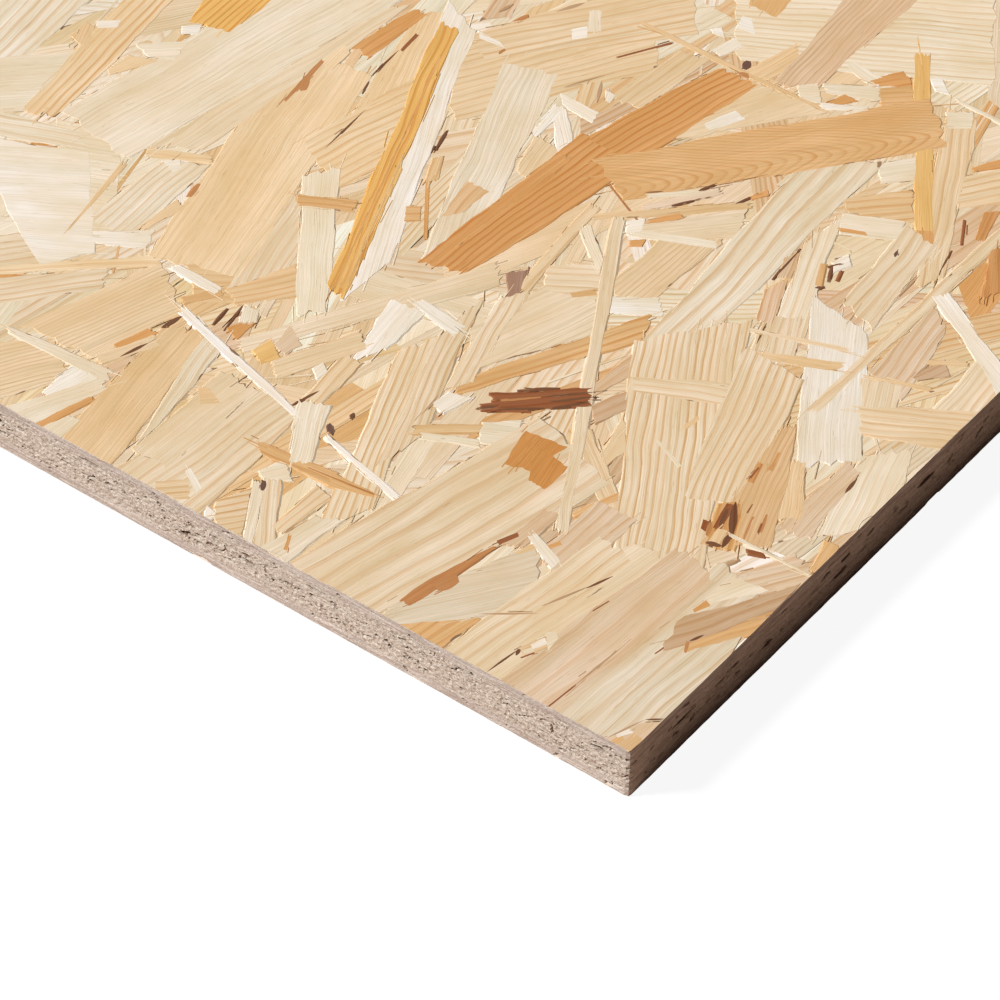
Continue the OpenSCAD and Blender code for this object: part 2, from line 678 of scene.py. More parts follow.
@dataclass(frozen=True)
class EdgeFinish:
    """Sawn edge: greyed wood ends, streaked near the faces and granular in the core, with painted shade in
    its pits, voids and small dents.

    Rates are grains to a metre along the edge and up it, and steps are where a change starts and ends.
    """

    fibres: bpy.types.NodeTree
    skin: Colour = (0.522, 0.457, 0.404, 1.0)
    base: Colour = (0.579, 0.506, 0.426, 1.0)
    bright: Colour = (0.83, 0.763, 0.673, 1.0)
    dull: Colour = (0.40, 0.315, 0.256, 1.0)
    # Painted shade: the dark speck colour sits in small dents of the relief, and the next colour darkens
    # pits and voids by their depth.
    speck_shade: Colour = (0.25, 0.165, 0.11, 1.0)
    pit: Colour = (0.21, 0.135, 0.09, 1.0)
    fibre_rate: tuple[float, float] = (90.0, 1700.0)
    low_step: tuple[float, float] = (0.0022, 0.0045)
    high_step: tuple[float, float] = (0.0158, 0.0135)
    grit_rate: tuple[float, float] = (1150.0, 1350.0)
    fleck_rate: tuple[float, float] = (1200.0, 1600.0)
    speck_rate: tuple[float, float] = (850.0, 1150.0)
    patch_rate: tuple[float, float] = (50.0, 150.0)
    streak_bright: tuple[float, float] = (0.48, 0.68)
    streak_dull: tuple[float, float] = (0.50, 0.32)
    crumb_bright: tuple[float, float] = (0.52, 0.70)
    crumb_dull: tuple[float, float] = (0.48, 0.32)
    fleck_step: tuple[float, float] = (0.60, 0.70)
    fleck_share: float = 0.7
    crumb_share: tuple[float, float] = (0.55, 0.35)
    patch_step: tuple[float, float] = (0.30, 0.70)
    patch_share: tuple[float, float] = (0.9, 0.25)
    speck_step: tuple[float, float] = (0.56, 0.66)
    speck_share: tuple[float, float] = (0.7, 0.2)
    rough: float = 0.65
    roughness: float = 0.85
    bump: float = 0.4
    bump_reach: float = 0.0005

    def grains(self, nodes: Nodes, rate: tuple[float, float], shift: float, detail: float) -> Socket:
        """Adds noise over the cut face.

        Args:
            nodes: Builder of the material's tree.
            rate: Grains to a metre along the edge and up it.
            shift: Keeps one use of the noise apart from the others.
            detail: Number of finer layers in the noise.

        Returns:
            Noise from 0 to 1.
        """
        place = nodes.parts(nodes.attribute("cut", "Vector"))
        return nodes.noise(nodes.spot(place, rate, shift), detail, self.rough)

    def build(self) -> bpy.types.Material:
        """Builds the material.

        Returns:
            The material.
        """
        material, nodes, shader = start_finish("osb_sawn_edge")
        place = nodes.attribute("cut", "Vector")
        depth = nodes.attribute("pit", "Fac")
        loose = nodes.attribute("loose", "Fac")
        _, height, _ = nodes.parts(place)
        fibres = nodes.add("ShaderNodeGroup", node_tree=self.fibres)
        nodes.feed(fibres.inputs["Place"], place)
        fibres.inputs["Along"].default_value = self.fibre_rate[0]
        fibres.inputs["Across"].default_value = self.fibre_rate[1]
        fibre = fibres.outputs["Fibre"]
        low = nodes.step(height, *self.low_step)
        high = nodes.step(height, *self.high_step)
        core = nodes.math("MULTIPLY", low, high)
        grit = self.grains(nodes, self.grit_rate, shift=5.3, detail=2.0)
        fleck = self.grains(nodes, self.fleck_rate, shift=2.1, detail=1.0)
        speck_shade = self.grains(nodes, self.speck_rate, shift=8.9, detail=2.0)
        patch = self.grains(nodes, self.patch_rate, shift=12.7, detail=1.0)
        ground = nodes.blend(core, self.skin, self.base)
        streaks = nodes.blend(nodes.step(fibre, *self.streak_bright), ground, self.bright)
        streaks = nodes.blend(nodes.step(fibre, *self.streak_dull), streaks, self.dull)
        crumbs = nodes.blend(nodes.step(grit, *self.crumb_bright), ground, self.bright)
        crumbs = nodes.blend(nodes.step(grit, *self.crumb_dull), crumbs, self.dull)
        flecks = nodes.math("MULTIPLY", nodes.step(fleck, *self.fleck_step), self.fleck_share)
        crumbs = nodes.blend(flecks, crumbs, self.bright)
        mixing = nodes.math("MULTIPLY", nodes.math("MULTIPLY_ADD", core, *self.crumb_share), loose)
        colour = nodes.blend(mixing, streaks, crumbs)
        rough = nodes.math("MULTIPLY_ADD", nodes.step(patch, *self.patch_step), *self.patch_share)
        # Painted shade: dark specks, which also dent the relief.
        spots = nodes.math("MULTIPLY", nodes.step(speck_shade, *self.speck_step), rough)
        spots = nodes.math("MULTIPLY", spots, nodes.math("MULTIPLY_ADD", core, *self.speck_share))
        spots = nodes.math("MULTIPLY", spots, loose)
        colour = nodes.blend(spots, colour, self.speck_shade)
        # Painted shade in pits and voids, darker where they are cut deeper.
        colour = nodes.blend(depth, colour, self.pit)
        nodes.feed(shader.inputs["Base Color"], colour)
        shader.inputs["Roughness"].default_value = self.roughness
        shader.inputs["Specular IOR Level"].default_value = 0.0
        relief = nodes.math("MULTIPLY_ADD", grit, loose, fibre)
        relief = nodes.math("SUBTRACT", relief, spots)
        nodes.feed(shader.inputs["Normal"], nodes.bump(relief, self.bump, self.bump_reach))
        return material


@dataclass(frozen=True)
class CoreFinish:
    """Inner strands that show as brown shade between the face strands."""

    colour: Colour = (0.62, 0.45, 0.28, 1.0)
    roughness: float = 0.9
    gloss: float = 0.1

    def build(self) -> bpy.types.Material:
        """Builds the material.

        Returns:
            The material.
        """
        material, _, shader = start_finish("osb_core")
        shader.inputs["Base Color"].default_value = self.colour
        shader.inputs["Roughness"].default_value = self.roughness
        shader.inputs["Specular IOR Level"].default_value = self.gloss
        return material


@dataclass
class StrandSet:
    """Many strands as whole arrays, one row to a strand, low strands first.

    Quads hold the corners on the sheet's plane: both of the first end, then both of the second.
    Pinches tell how far the ends are drawn to a point, from 0 to 1.
    """

    quads: Array
    tints: Array
    figures: Array
    levels: Array
    frays: Array
    pinches: Array

    def picked(self, chosen: Array) -> "StrandSet":
        """Keeps some strands.

        Args:
            chosen: True for each strand to keep, or the numbers of those to keep.

        Returns:
            The kept strands.
        """
        return StrandSet(*(values[chosen] for values in vars(self).values()))

    def joined(self, other: "StrandSet") -> "StrandSet":
        """Adds other strands and sorts all by height.

        Args:
            other: The strands to add.

        Returns:
            All strands, low ones first.
        """
        both = StrandSet(*map(np.concatenate, zip(vars(self).values(), vars(other).values())))
        return both.picked(np.argsort(both.levels, kind="stable"))

    def middles(self) -> Array:
        """Gives the middle of each strand.

        Returns:
            Points x and y.
        """
        return self.quads.mean(axis=1)


TONE_SHARES: dict[Tone, float] = {
    Tone.WHITE: 0.06,
    Tone.PALE: 0.27,
    Tone.CREAM: 0.30,
    Tone.STRAW: 0.17,
    Tone.HONEY: 0.08,
    Tone.TAN: 0.04,
    Tone.GOLD: 0.01,
    Tone.ORANGE: 0.025,
    Tone.RUST: 0.005,
    Tone.MAUVE: 0.04,
}

GRAIN_SHARES: dict[Grain, float] = {
    Grain.PLAIN: 0.14,
    Grain.FINE: 0.30,
    Grain.LINES: 0.22,
    Grain.STRIPED: 0.10,
    Grain.BROAD: 0.10,
    Grain.DENSE: 0.06,
    Grain.ARCHED: 0.08,
}


@dataclass(frozen=True)
class Scatter:
    """How one kind of strand is strewn over a face: one strand to a cell of an even grid, strayed."""

    cell: tuple[float, float]
    length: tuple[float, float]
    width: tuple[float, float]
    levels: tuple[float, float]
    fray: float
    lean: float = -4.0
    spread: float = 23.0
    crossed: float = 0.07
    pinch: float = 0.0
    margin: float = 45.0
    taper: tuple[float, float] = (0.72, 1.0)
    skew: float = 0.25
    steps: int = 25
    strides: tuple[int, int] = (7, 10)
    step_stray: float = 0.2
    light_stray: float = 0.035
    hue_stray: float = 0.012
    ring_stray: tuple[float, float] = (0.75, 1.35)

    def strew(self, rng: np.random.Generator) -> StrandSet:
        """Makes the strands: middle plus half a length along and half a width across.

        Heights go by steps that differ between cells close to each other, so no two strands lie
        in one plane.

        Args:
            rng: Source of chance.

        Returns:
            The strands.
        """
        columns = int((LENGTH + 2 * self.margin) / self.cell[0])
        rows = int((WIDTH + 2 * self.margin) / self.cell[1])
        column, row = np.meshgrid(np.arange(columns), np.arange(rows))
        spots = np.stack([column.ravel(), row.ravel()], axis=1) + rng.random((columns * rows, 2))
        extent = np.array([LENGTH + 2 * self.margin, WIDTH + 2 * self.margin])
        middle = spots / np.array([columns, rows]) * extent - extent / 2
        count = len(middle)
        angle = np.radians(rng.normal(self.lean, self.spread, count))
        stray = rng.random(count) < self.crossed
        angle = np.where(stray, rng.uniform(-np.pi / 2, np.pi / 2, count), angle)
        along = np.stack([np.cos(angle), np.sin(angle)], axis=1)
        across = np.stack([-np.sin(angle), np.cos(angle)], axis=1)
        length = rng.uniform(*self.length, count)[:, None]
        width = np.exp(rng.uniform(math.log(self.width[0]), math.log(self.width[1]), count))[:, None]
        taper = rng.uniform(*self.taper, (2, count, 1))
        skew = rng.normal(0.0, self.skew, (2, count, 1)) * width
        ends = (middle - along * length / 2, middle + along * length / 2)
        corners = [
            end + sign * (across * width / 2 * taper[number] + along * skew[number])
            for number, end in enumerate(ends)
            for sign in (-1, 1)
        ]
        tints = self.tints(rng, count)
        figures = self.figures(rng, count)
        rank = (self.strides[0] * column.ravel() + self.strides[1] * row.ravel()) % self.steps
        rank = rank + self.step_stray * rng.random(count)
        levels = self.levels[0] + (self.levels[1] - self.levels[0]) * rank / self.steps
        fray = np.full(count, self.fray)
        pinch = np.full(count, self.pinch)
        return StrandSet(np.stack(corners, axis=1), tints, figures, levels, fray, pinch)

    def tints(self, rng: np.random.Generator, count: int) -> Array:
        """Draws tones by their usual shares and strays each a little.

        Args:
            rng: Source of chance.
            count: Number of strands.

        Returns:
            Linear colours.
        """
        table = np.array([tone.linear() for tone in TONE_SHARES])
        shares = np.array(list(TONE_SHARES.values()))
        drawn = table[rng.choice(len(table), count, p=shares / shares.sum())]
        drawn = drawn * rng.normal(1.0, self.light_stray, (count, 1))
        return drawn * rng.normal(1.0, self.hue_stray, (count, 3))

    def figures(self, rng: np.random.Generator, count: int) -> Array:
        """Draws figures by their usual shares.

        Args:
            rng: Source of chance.
            count: Number of strands.

        Returns:
            Rings to a metre, contrast and arching.
        """
        table = np.array([grain.value for grain in GRAIN_SHARES])
        drawn = table[rng.choice(len(table), count, p=tuple(GRAIN_SHARES.values()))]
        drawn[:, 0] *= rng.uniform(*self.ring_stray, count)
        return drawn


@dataclass(frozen=True)
class StrandMesher:
    """Turns strands into thin plates: a grid along and across each, and a bevelled skirt if wanted."""

    along: tuple[float, ...] = (0.0, 0.05, 0.95, 1.0)
    across: tuple[float, ...] = (0.0, 0.12, 0.88, 1.0)
    skirted: bool = True
    base: float = 17.58
    drop: float = 0.42
    bevel: float = 0.98
    inset: float = 0.14
    ragged: float = 0.06
    blunt: float = 0.9
    tilt: float = 0.0005
    # Painted shade: extra rim on sides facing the key light keeps the crevice paint off them; the way below
    # points away from the key light.
    lit_side_margin: float = 0.22
    shade_way: float = -40.0
    fray_power: float = 1.5
    waves: tuple[float, ...] = (57.0, 21.0, 7.5)
    swings: tuple[float, ...] = (0.45, 0.22, 0.12)
    swing_share: float = 0.15
    # Skirts get a rim just below 0, which paints their side walls with shade.
    skirt_rim: float = -0.1
    seeds: float = 60.0
    least_way: float = 1e-6
    least_area: float = 1e-3

    def plates(self, strands: StrandSet, rng: np.random.Generator) -> tuple[Array, Array, dict[str, Array]]:
        """Builds every plate at once.

        A point is start + (end - start) * s on the line across at t, where start and end run over
        the strand's two ends, cut to the sheet's rectangle. The skirt goes out by the bevel and down.
        The rim is the distance to the nearest side, plus a little on sides that face the key light, so that
        the painted crevice shade falls only on the sides turned away from it.

        Args:
            strands: The strands, low ones first.
            rng: Source of chance.

        Returns:
            Points, faces of four and fields to a point.
        """
        count = len(strands.quads)
        steps = np.asarray(self.along)
        lines = np.asarray(self.across)
        rows = len(steps)
        columns = len(lines)
        quads = self.turned(strands.quads)
        first = quads[:, 0, None] + (quads[:, 1] - quads[:, 0])[:, None] * lines[None, :, None]
        second = quads[:, 2, None] + (quads[:, 3] - quads[:, 2])[:, None] * lines[None, :, None]
        axis = second.mean(axis=1) - first.mean(axis=1)
        length = np.linalg.norm(axis, axis=1)
        axis = axis / length[:, None]
        side = np.stack([-axis[:, 1], axis[:, 0]], axis=1)
        fray = strands.frays[:, None, None]
        first = first + axis[:, None] * rng.random((count, columns, 1)) ** self.fray_power * fray
        second = second - axis[:, None] * rng.random((count, columns, 1)) ** self.fray_power * fray
        enter, leave, low, high = self.cut(first, second, rng)
        share = enter[:, None, :] + (leave - enter)[:, None, :] * steps[None, :, None]
        plane = first[:, None] + (second - first)[:, None] * share[..., None]
        width = np.linalg.norm(quads[:, 1] - quads[:, 0] + quads[:, 3] - quads[:, 2], axis=1) / 2
        sway = self.sides(length, width, rng)
        drift = sway[..., 0, None] * (1 - lines) + sway[..., 1, None] * lines
        plane = plane + drift[..., None] * side[:, None, None]
        middle = plane.mean(axis=2, keepdims=True)
        narrow = 1.0 - strands.pinches[:, None] * (2 * steps - 1) ** 2
        plane = middle + (plane - middle) * narrow[..., None, None]
        plane = np.clip(plane, low[:, None], high[:, None])
        plane = self.blunted(plane)
        # Painted shade: the rim grows on sides facing the key light, so crevice shade shows on the sides
        # away from it.
        way = np.radians(self.shade_way)
        away_from_key = np.array([np.cos(way), np.sin(way)])
        beside = np.where(lines < 0.5, -1.0, 1.0) * (side @ away_from_key)[:, None]
        border = np.minimum(lines, 1 - lines) * width[:, None] + self.lit_side_margin * np.clip(-beside, 0.0, 1.0)
        ahead = np.where(steps < 0.5, -1.0, 1.0) * (axis @ away_from_key)[:, None]
        ends = np.minimum(share, 1 - share) * length[:, None, None]
        ends = ends + self.lit_side_margin * np.clip(-ahead, 0.0, 1.0)[..., None]
        rim = np.minimum(border[:, None, :], ends)
        tilt = rng.normal(0.0, self.tilt, (count, 1, 1)) * (2 * lines - 1)[None, None, :]
        height = self.base + strands.levels[:, None, None] + tilt + np.zeros((count, rows, columns))
        height = np.minimum(height, THICK)
        top = np.concatenate([plane, height[..., None]], axis=-1).reshape(count, rows * columns, 3)
        ring, signs = self.ring(rows, columns)
        skirt = top[:, ring].copy()
        outward = signs[None, :, 0, None] * axis[:, None] + signs[None, :, 1, None] * side[:, None]
        skirt[..., :2] = skirt[..., :2] + outward * self.bevel
        edge = np.array([LENGTH / 2 - self.inset, WIDTH / 2 - self.inset])
        skirt[..., :2] = self.blunted(np.clip(skirt[..., :2], -edge, edge))
        skirt[..., 2] -= self.drop
        points = np.concatenate([top, skirt], axis=1)
        skirt_rims = np.full((count, len(ring)), self.skirt_rim)
        rims = np.concatenate([rim.reshape(count, -1), skirt_rims], axis=1)
        faces = self.faces(count, rows, columns, ring)
        off = points[..., :2] - quads.mean(axis=1)[:, None]
        run = (off * axis[:, None]).sum(axis=-1)
        cross = off[..., 1] * axis[:, None, 0] - off[..., 0] * axis[:, None, 1]
        seed = rng.uniform(0.0, self.seeds, (count, 1)) * METRE + np.zeros_like(run)
        fields = {
            "grain": np.stack([run, cross, seed], axis=-1).reshape(-1, 3) * MM,
            "figure": np.repeat(strands.figures, points.shape[1], axis=0),
            "tint": np.repeat(np.c_[strands.tints, np.ones(count)], points.shape[1], axis=0),
            "rim": rims.ravel() * MM,
        }
        flat = points.reshape(-1, 3)
        return flat, self.sound(flat, faces), fields

    def blunted(self, plane: Array) -> Array:
        """Cuts the sheet's sharp corners off: both ways in from a corner must add up to a set length.

        Args:
            plane: Points x and y.

        Returns:
            The points, moved in where they lay too near a corner.
        """
        room = np.array([LENGTH, WIDTH]) / 2 - np.abs(plane)
        lack = np.maximum(self.blunt - room.sum(axis=-1, keepdims=True), 0.0)
        return plane - np.sign(plane) * lack / 2

    def sides(self, length: Array, width: Array, rng: np.random.Generator) -> Array:
        """Gives both sides' sway: three sine waves, each of its own length, from chance phases.

        Args:
            length: Length of each strand.
            width: Width of each strand.
            rng: Source of chance.

        Returns:
            Sway at each step along, for the first and the second side.
        """
        waves = np.asarray(self.waves)
        heights = np.asarray(self.swings)
        phases = rng.uniform(0.0, 2 * np.pi, (len(length), 1, 2, len(waves)))
        run = (np.asarray(self.along) * length[:, None])[..., None, None]
        sway = (heights * np.sin(2 * np.pi * run / waves + phases)).sum(axis=-1)
        return sway * np.minimum(1.0, self.swing_share * width)[:, None, None]

    def turned(self, quads: Array) -> Array:
        """Orders each quad so that its second side lies to the left of the way along it.

        Args:
            quads: Corners of the strands.

        Returns:
            Corners in that order.
        """
        along = quads[:, 2] + quads[:, 3] - quads[:, 0] - quads[:, 1]
        across = quads[:, 1] + quads[:, 3] - quads[:, 0] - quads[:, 2]
        left = along[:, 0] * across[:, 1] - along[:, 1] * across[:, 0] > 0
        return np.where(left[:, None, None], quads, quads[:, [1, 0, 3, 2]])

    def cut(
        self, first: Array, second: Array, rng: np.random.Generator
    ) -> tuple[Array, Array, Array, Array]:
        """Cuts lines to the sheet's rectangle, with a ragged inset.

        Args:
            first: Starts of the lines.
            second: Ends of the lines.
            rng: Source of chance.

        Returns:
            Shares where each line enters and leaves, and the low and high corners that held for it.
        """
        inset = self.inset + self.ragged * rng.random(first.shape[:2] + (1,)) ** 2
        high = np.array([LENGTH / 2, WIDTH / 2]) - inset
        way = second - first
        way = np.where(np.abs(way) < self.least_way, self.least_way, way)
        near = (-high - first) / way
        far = (high - first) / way
        enter = np.clip(np.minimum(near, far).max(axis=-1), 0.0, 1.0)
        leave = np.clip(np.maximum(near, far).min(axis=-1), 0.0, 1.0)
        middle = (enter + leave) / 2
        missed = enter > leave
        return np.where(missed, middle, enter), np.where(missed, middle, leave), -high, high

    def ring(self, rows: int, columns: int) -> tuple[Array, Array]:
        """Lists the border points that carry a skirt, in turn, and which way out is at each.

        Args:
            rows: Points along a strand.
            columns: Points across it.

        Returns:
            Point numbers, and signs along and across.
        """
        row = np.concatenate(
            [
                np.arange(rows),
                np.full(columns - 1, rows - 1),
                np.arange(rows - 2, -1, -1),
                np.zeros(columns - 2, dtype=int),
            ]
        )
        column = np.concatenate(
            [
                np.zeros(rows, dtype=int),
                np.arange(1, columns),
                np.full(rows - 1, columns - 1),
                np.arange(columns - 2, 0, -1),
            ]
        )
        signs = np.stack(
            [
                (row == rows - 1).astype(float) - (row == 0),
                (column == columns - 1).astype(float) - (column == 0),
            ],
            axis=1,
        )
        border = row * columns + column
        return (border, signs) if self.skirted else (border[:0], signs[:0])

    def faces(self, count: int, rows: int, columns: int, ring: Array) -> Array:
        """Lists the faces of all plates.

        Args:
            count: Number of plates.
            rows: Points along a plate.
            columns: Points across it.
            ring: Border points in turn.

        Returns:
            Four point numbers to a face, turned outward.
        """
        below = rows * columns + np.arange(len(ring))
        sides = np.stack([ring, below, np.roll(below, -1), np.roll(ring, -1)], axis=-1)
        one = np.concatenate([grid_faces(rows, columns), sides])
        size = rows * columns + len(ring)
        return (one[None] + (np.arange(count) * size)[:, None, None]).reshape(-1, 4)

    def sound(self, points: Array, faces: Array) -> Array:
        """Leaves out faces that have no area.

        Args:
            points: All points.
            faces: All faces.

        Returns:
            The faces that are left.
        """
        one = points[faces[:, 2]] - points[faces[:, 0]]
        two = points[faces[:, 3]] - points[faces[:, 1]]
        area = np.linalg.norm(np.cross(one, two), axis=1) / 2
        return faces[area > self.least_area]


@dataclass(frozen=True)
class StrandFace:
    """One face of the sheet, cut into tiles so that each keeps a fine texture."""

    name: str
    under: bool
    columns: int = 4
    rows: int = 2

    def build(
        self,
        strands: StrandSet,
        mesher: StrandMesher,
        material: bpy.types.Material,
        rng: np.random.Generator,
    ) -> list[bpy.types.Object]:
        """Makes the tiles; the underside is the same, mirrored in the sheet's middle plane.

        Args:
            strands: Strands of the face.
            mesher: Maker of the plates.
            material: Finish.
            rng: Source of chance.

        Returns:
            The pieces.
        """
        middles = strands.middles() / np.array([LENGTH, WIDTH]) + 0.5
        spots = np.floor(middles * np.array([self.columns, self.rows])).astype(int)
        spots = np.clip(spots, 0, np.array([self.columns, self.rows]) - 1)
        pieces = []
        for column in range(self.columns):
            for row in range(self.rows):
                chosen = strands.picked((spots[:, 0] == column) & (spots[:, 1] == row))
                points, faces, fields = mesher.plates(chosen, rng)
                if self.under:
                    points[:, 2] = THICK - points[:, 2]
                    faces = faces[:, ::-1]
                name = f"{self.name}_{column + 1}_{row + 1}"
                pieces.append(make_piece(name, points, faces, material, fields, flat_map(points)))
        return pieces


def grid_faces(rows: int, columns: int) -> Array:
    """Lists the faces of a grid of points.

    Args:
        rows: Points one way.
        columns: Points the other way, which come first in the points' order.

    Returns:
        Four point numbers to a face.
    """
    grid = np.arange(rows * columns).reshape(rows, columns)
    faces = np.stack([grid[:-1, :-1], grid[1:, :-1], grid[1:, 1:], grid[:-1, 1:]], axis=-1)
    return faces.reshape(-1, 4)


def flat_map(points: Array) -> Array:
    """Maps points straight down, so that the upper strands cover the lower in the texture too.

    Args:
        points: Points of a piece.

    Returns:
        Texture places from 0 to 1.
    """
    low = points[:, :2].min(axis=0)
    high = points[:, :2].max(axis=0)
    return (points[:, :2] - low) / (high - low)


def chance(key: float, item: Array, draw: float) -> Array:
    """Gives the sheet's repeatable numbers: the part of 997 sin(angle) past the whole number below.

    Args:
        key: Key of the edge.
        item: Number of each cut.
        draw: Which use the number has.

    Returns:
        Numbers from 0 to 1.
    """
    angle = key * 71.3 + item * 37.7 + draw * 113.9 + item * item * 0.61
    wave = 997 * np.sin(np.radians(angle))
    return wave - np.floor(wave)


def between(low: Array | float, high: Array | float, share: Array) -> Array:
    """Gives numbers between two bounds.

    Args:
        low: Lower bound.
        high: Upper bound.
        share: Way from the lower to the upper, from 0 to 1.

    Returns:
        The numbers.
    """
    return low + (high - low) * share


def places(run: float, pitch: float, key: float, draw: float) -> tuple[Array, Array]:
    """Gives places along an edge at an even pitch, each strayed a little.

    Args:
        run: Length of the edge.
        pitch: Mean distance between places.
        key: Key of the edge.
        draw: Which use the places have.

    Returns:
        Numbers of the places, and the places from the edge's middle.
    """
    count = int(run // pitch)
    item = np.arange(count)
    return item, (item + 0.5 + STRAY * (chance(key, item, draw) - 0.5)) * run / count - run / 2


def lattice_noise(x: Array, y: Array, cell: tuple[float, float], rng: np.random.Generator) -> Array:
    """Gives smooth noise: chance values on a lattice, blended between the four nearest.

    Args:
        x: First place, from 0 up.
        y: Second place, from 0 up.
        cell: Size of a lattice cell.
        rng: Source of chance.

    Returns:
        Numbers from 0 to 1.
    """
    column = x / cell[0]
    row = y / cell[1]
    table = rng.random((int(column.max()) + 2, int(row.max()) + 2))
    left = column.astype(int)
    low = row.astype(int)
    across = column - left
    up = row - low
    across = across * across * (3 - 2 * across)
    up = up * up * (3 - 2 * up)
    lower = table[left, low] * (1 - across) + table[left + 1, low] * across
    upper = table[left, low + 1] * (1 - across) + table[left + 1, low + 1] * across
    return lower * (1 - up) + upper * up


@dataclass(frozen=True)
class Gap:
    """One torn gap read off a sawn edge: image points of its two ends and its height in the image."""

    start: tuple[float, float]
    end: tuple[float, float]
    high: float


LEFT_GAPS: tuple[Gap, ...] = (
    Gap((0, 422), (4, 424), 4.0),
    Gap((0, 432), (8, 436), 3.0),
    Gap((9, 428), (11, 429), 2.0),
    Gap((18, 428), (23, 432), 2.5),
    Gap((22, 447), (25, 449), 2.0),
    Gap((49, 468), (53, 470), 2.0),
    Gap((75, 471), (87, 476), 2.2),
    Gap((88, 477), (95, 478), 2.8),
    Gap((104, 481), (108, 484), 2.0),
    Gap((137, 499), (141, 501), 1.8),
    Gap((153, 494), (158, 499), 2.6),
    Gap((157, 503), (160, 506), 2.6),
    Gap((164, 519), (169, 520), 2.0),
    Gap((182, 533), (189, 534), 4.4),
    Gap((188, 535), (195, 537), 2.6),
    Gap((188, 523), (191, 526), 2.0),
    Gap((166, 531), (170, 532), 1.6),
    Gap((197, 543), (202, 545), 2.8),
    Gap((207, 544), (213, 546), 2.6),
    Gap((214, 549), (221, 552), 1.8),
    Gap((221, 552), (226, 550), 1.8),
    Gap((226, 550), (224, 546), 1.6),
    Gap((223, 532), (229, 534), 2.8),
    Gap((231, 539), (234, 540), 1.8),
    Gap((201, 537), (204, 538), 1.8),
    Gap((231, 556), (233, 559), 1.8),
    Gap((260, 565), (265, 567), 1.8),
    Gap((264, 568), (266, 573), 1.6),
    Gap((265, 575), (267, 578), 1.6),
    Gap((270, 576), (273, 580), 1.8),
    Gap((274, 568), (277, 569), 1.6),
    Gap((285, 583), (292, 586), 3.2),
    Gap((295, 589), (299, 590), 2.4),
    Gap((300, 597), (304, 598), 1.8),
    Gap((310, 595), (317, 599), 2.6),
    Gap((312, 615), (315, 617), 2.2),
    Gap((332, 619), (338, 620), 2.0),
    Gap((340, 623), (345, 625), 1.8),
    Gap((362, 635), (371, 638), 1.8),
    Gap((376, 636), (381, 639), 2.6),
    Gap((386, 641), (389, 645), 1.8),
    Gap((338, 595), (341, 598), 2.0),
    Gap((334, 606), (337, 610), 1.8),
    Gap((394, 637), (399, 640), 2.6),
    Gap((409, 636), (415, 641), 2.4),
    Gap((403, 657), (406, 659), 2.0),
    Gap((412, 660), (418, 662), 2.0),
    Gap((419, 668), (427, 672), 2.8),
    Gap((404, 667), (407, 671), 2.2),
    Gap((420, 653), (424, 657), 2.2),
    Gap((430, 654), (438, 661), 1.8),
    Gap((434, 650), (439, 652), 1.8),
    Gap((456, 669), (461, 671), 2.6),
    Gap((466, 669), (472, 675), 1.8),
    Gap((470, 682), (475, 686), 1.8),
    Gap((463, 699), (467, 703), 1.8),
    Gap((506, 700), (517, 706), 1.4),
    Gap((503, 704), (507, 705), 2.0),
    Gap((519, 716), (532, 718), 1.6),
    Gap((541, 720), (547, 722), 2.4),
    Gap((551, 726), (552, 733), 2.4),
    Gap((554, 725), (561, 728), 1.8),
    Gap((523, 695), (533, 700), 1.6),
    Gap((506, 725), (513, 729), 1.8),
    Gap((560, 749), (566, 752), 2.6),
    Gap((571, 749), (575, 750), 1.8),
    Gap((603, 747), (613, 750), 2.8),
    Gap((615, 756), (622, 759), 2.2),
    Gap((622, 760), (632, 765), 1.4),
    Gap((600, 769), (606, 774), 2.4),
    Gap((614, 774), (623, 778), 1.8),
    Gap((623, 778), (633, 775), 1.6),
    Gap((612, 783), (622, 788), 1.8),
    Gap((554, 755), (559, 757), 3.0),
    Gap((606, 783), (611, 785), 3.4),
)
FRONT_GAPS: tuple[Gap, ...] = (
    Gap((651, 750), (654, 746), 2.0),
    Gap((659, 757), (664, 752), 2.0),
    Gap((669, 731), (672, 727), 2.0),
    Gap((674, 736), (679, 731), 3.0),
    Gap((692, 719), (695, 715), 2.6),
    Gap((684, 707), (690, 703), 2.4),
    Gap((735, 666), (739, 662), 2.8),
    Gap((736, 674), (740, 671), 2.8),
    Gap((783, 613), (787, 609), 2.4),
    Gap((825, 577), (830, 572), 2.8),
    Gap((843, 561), (850, 554), 3.0),
    Gap((842, 570), (846, 566), 2.0),
    Gap((862, 551), (867, 545), 2.0),
    Gap((869, 535), (874, 529), 2.6),
    Gap((895, 512), (898, 508), 2.0),
    Gap((948, 462), (953, 454), 2.4),
    Gap((960, 442), (964, 434), 1.8),
    Gap((977, 436), (982, 428), 3.6),
)


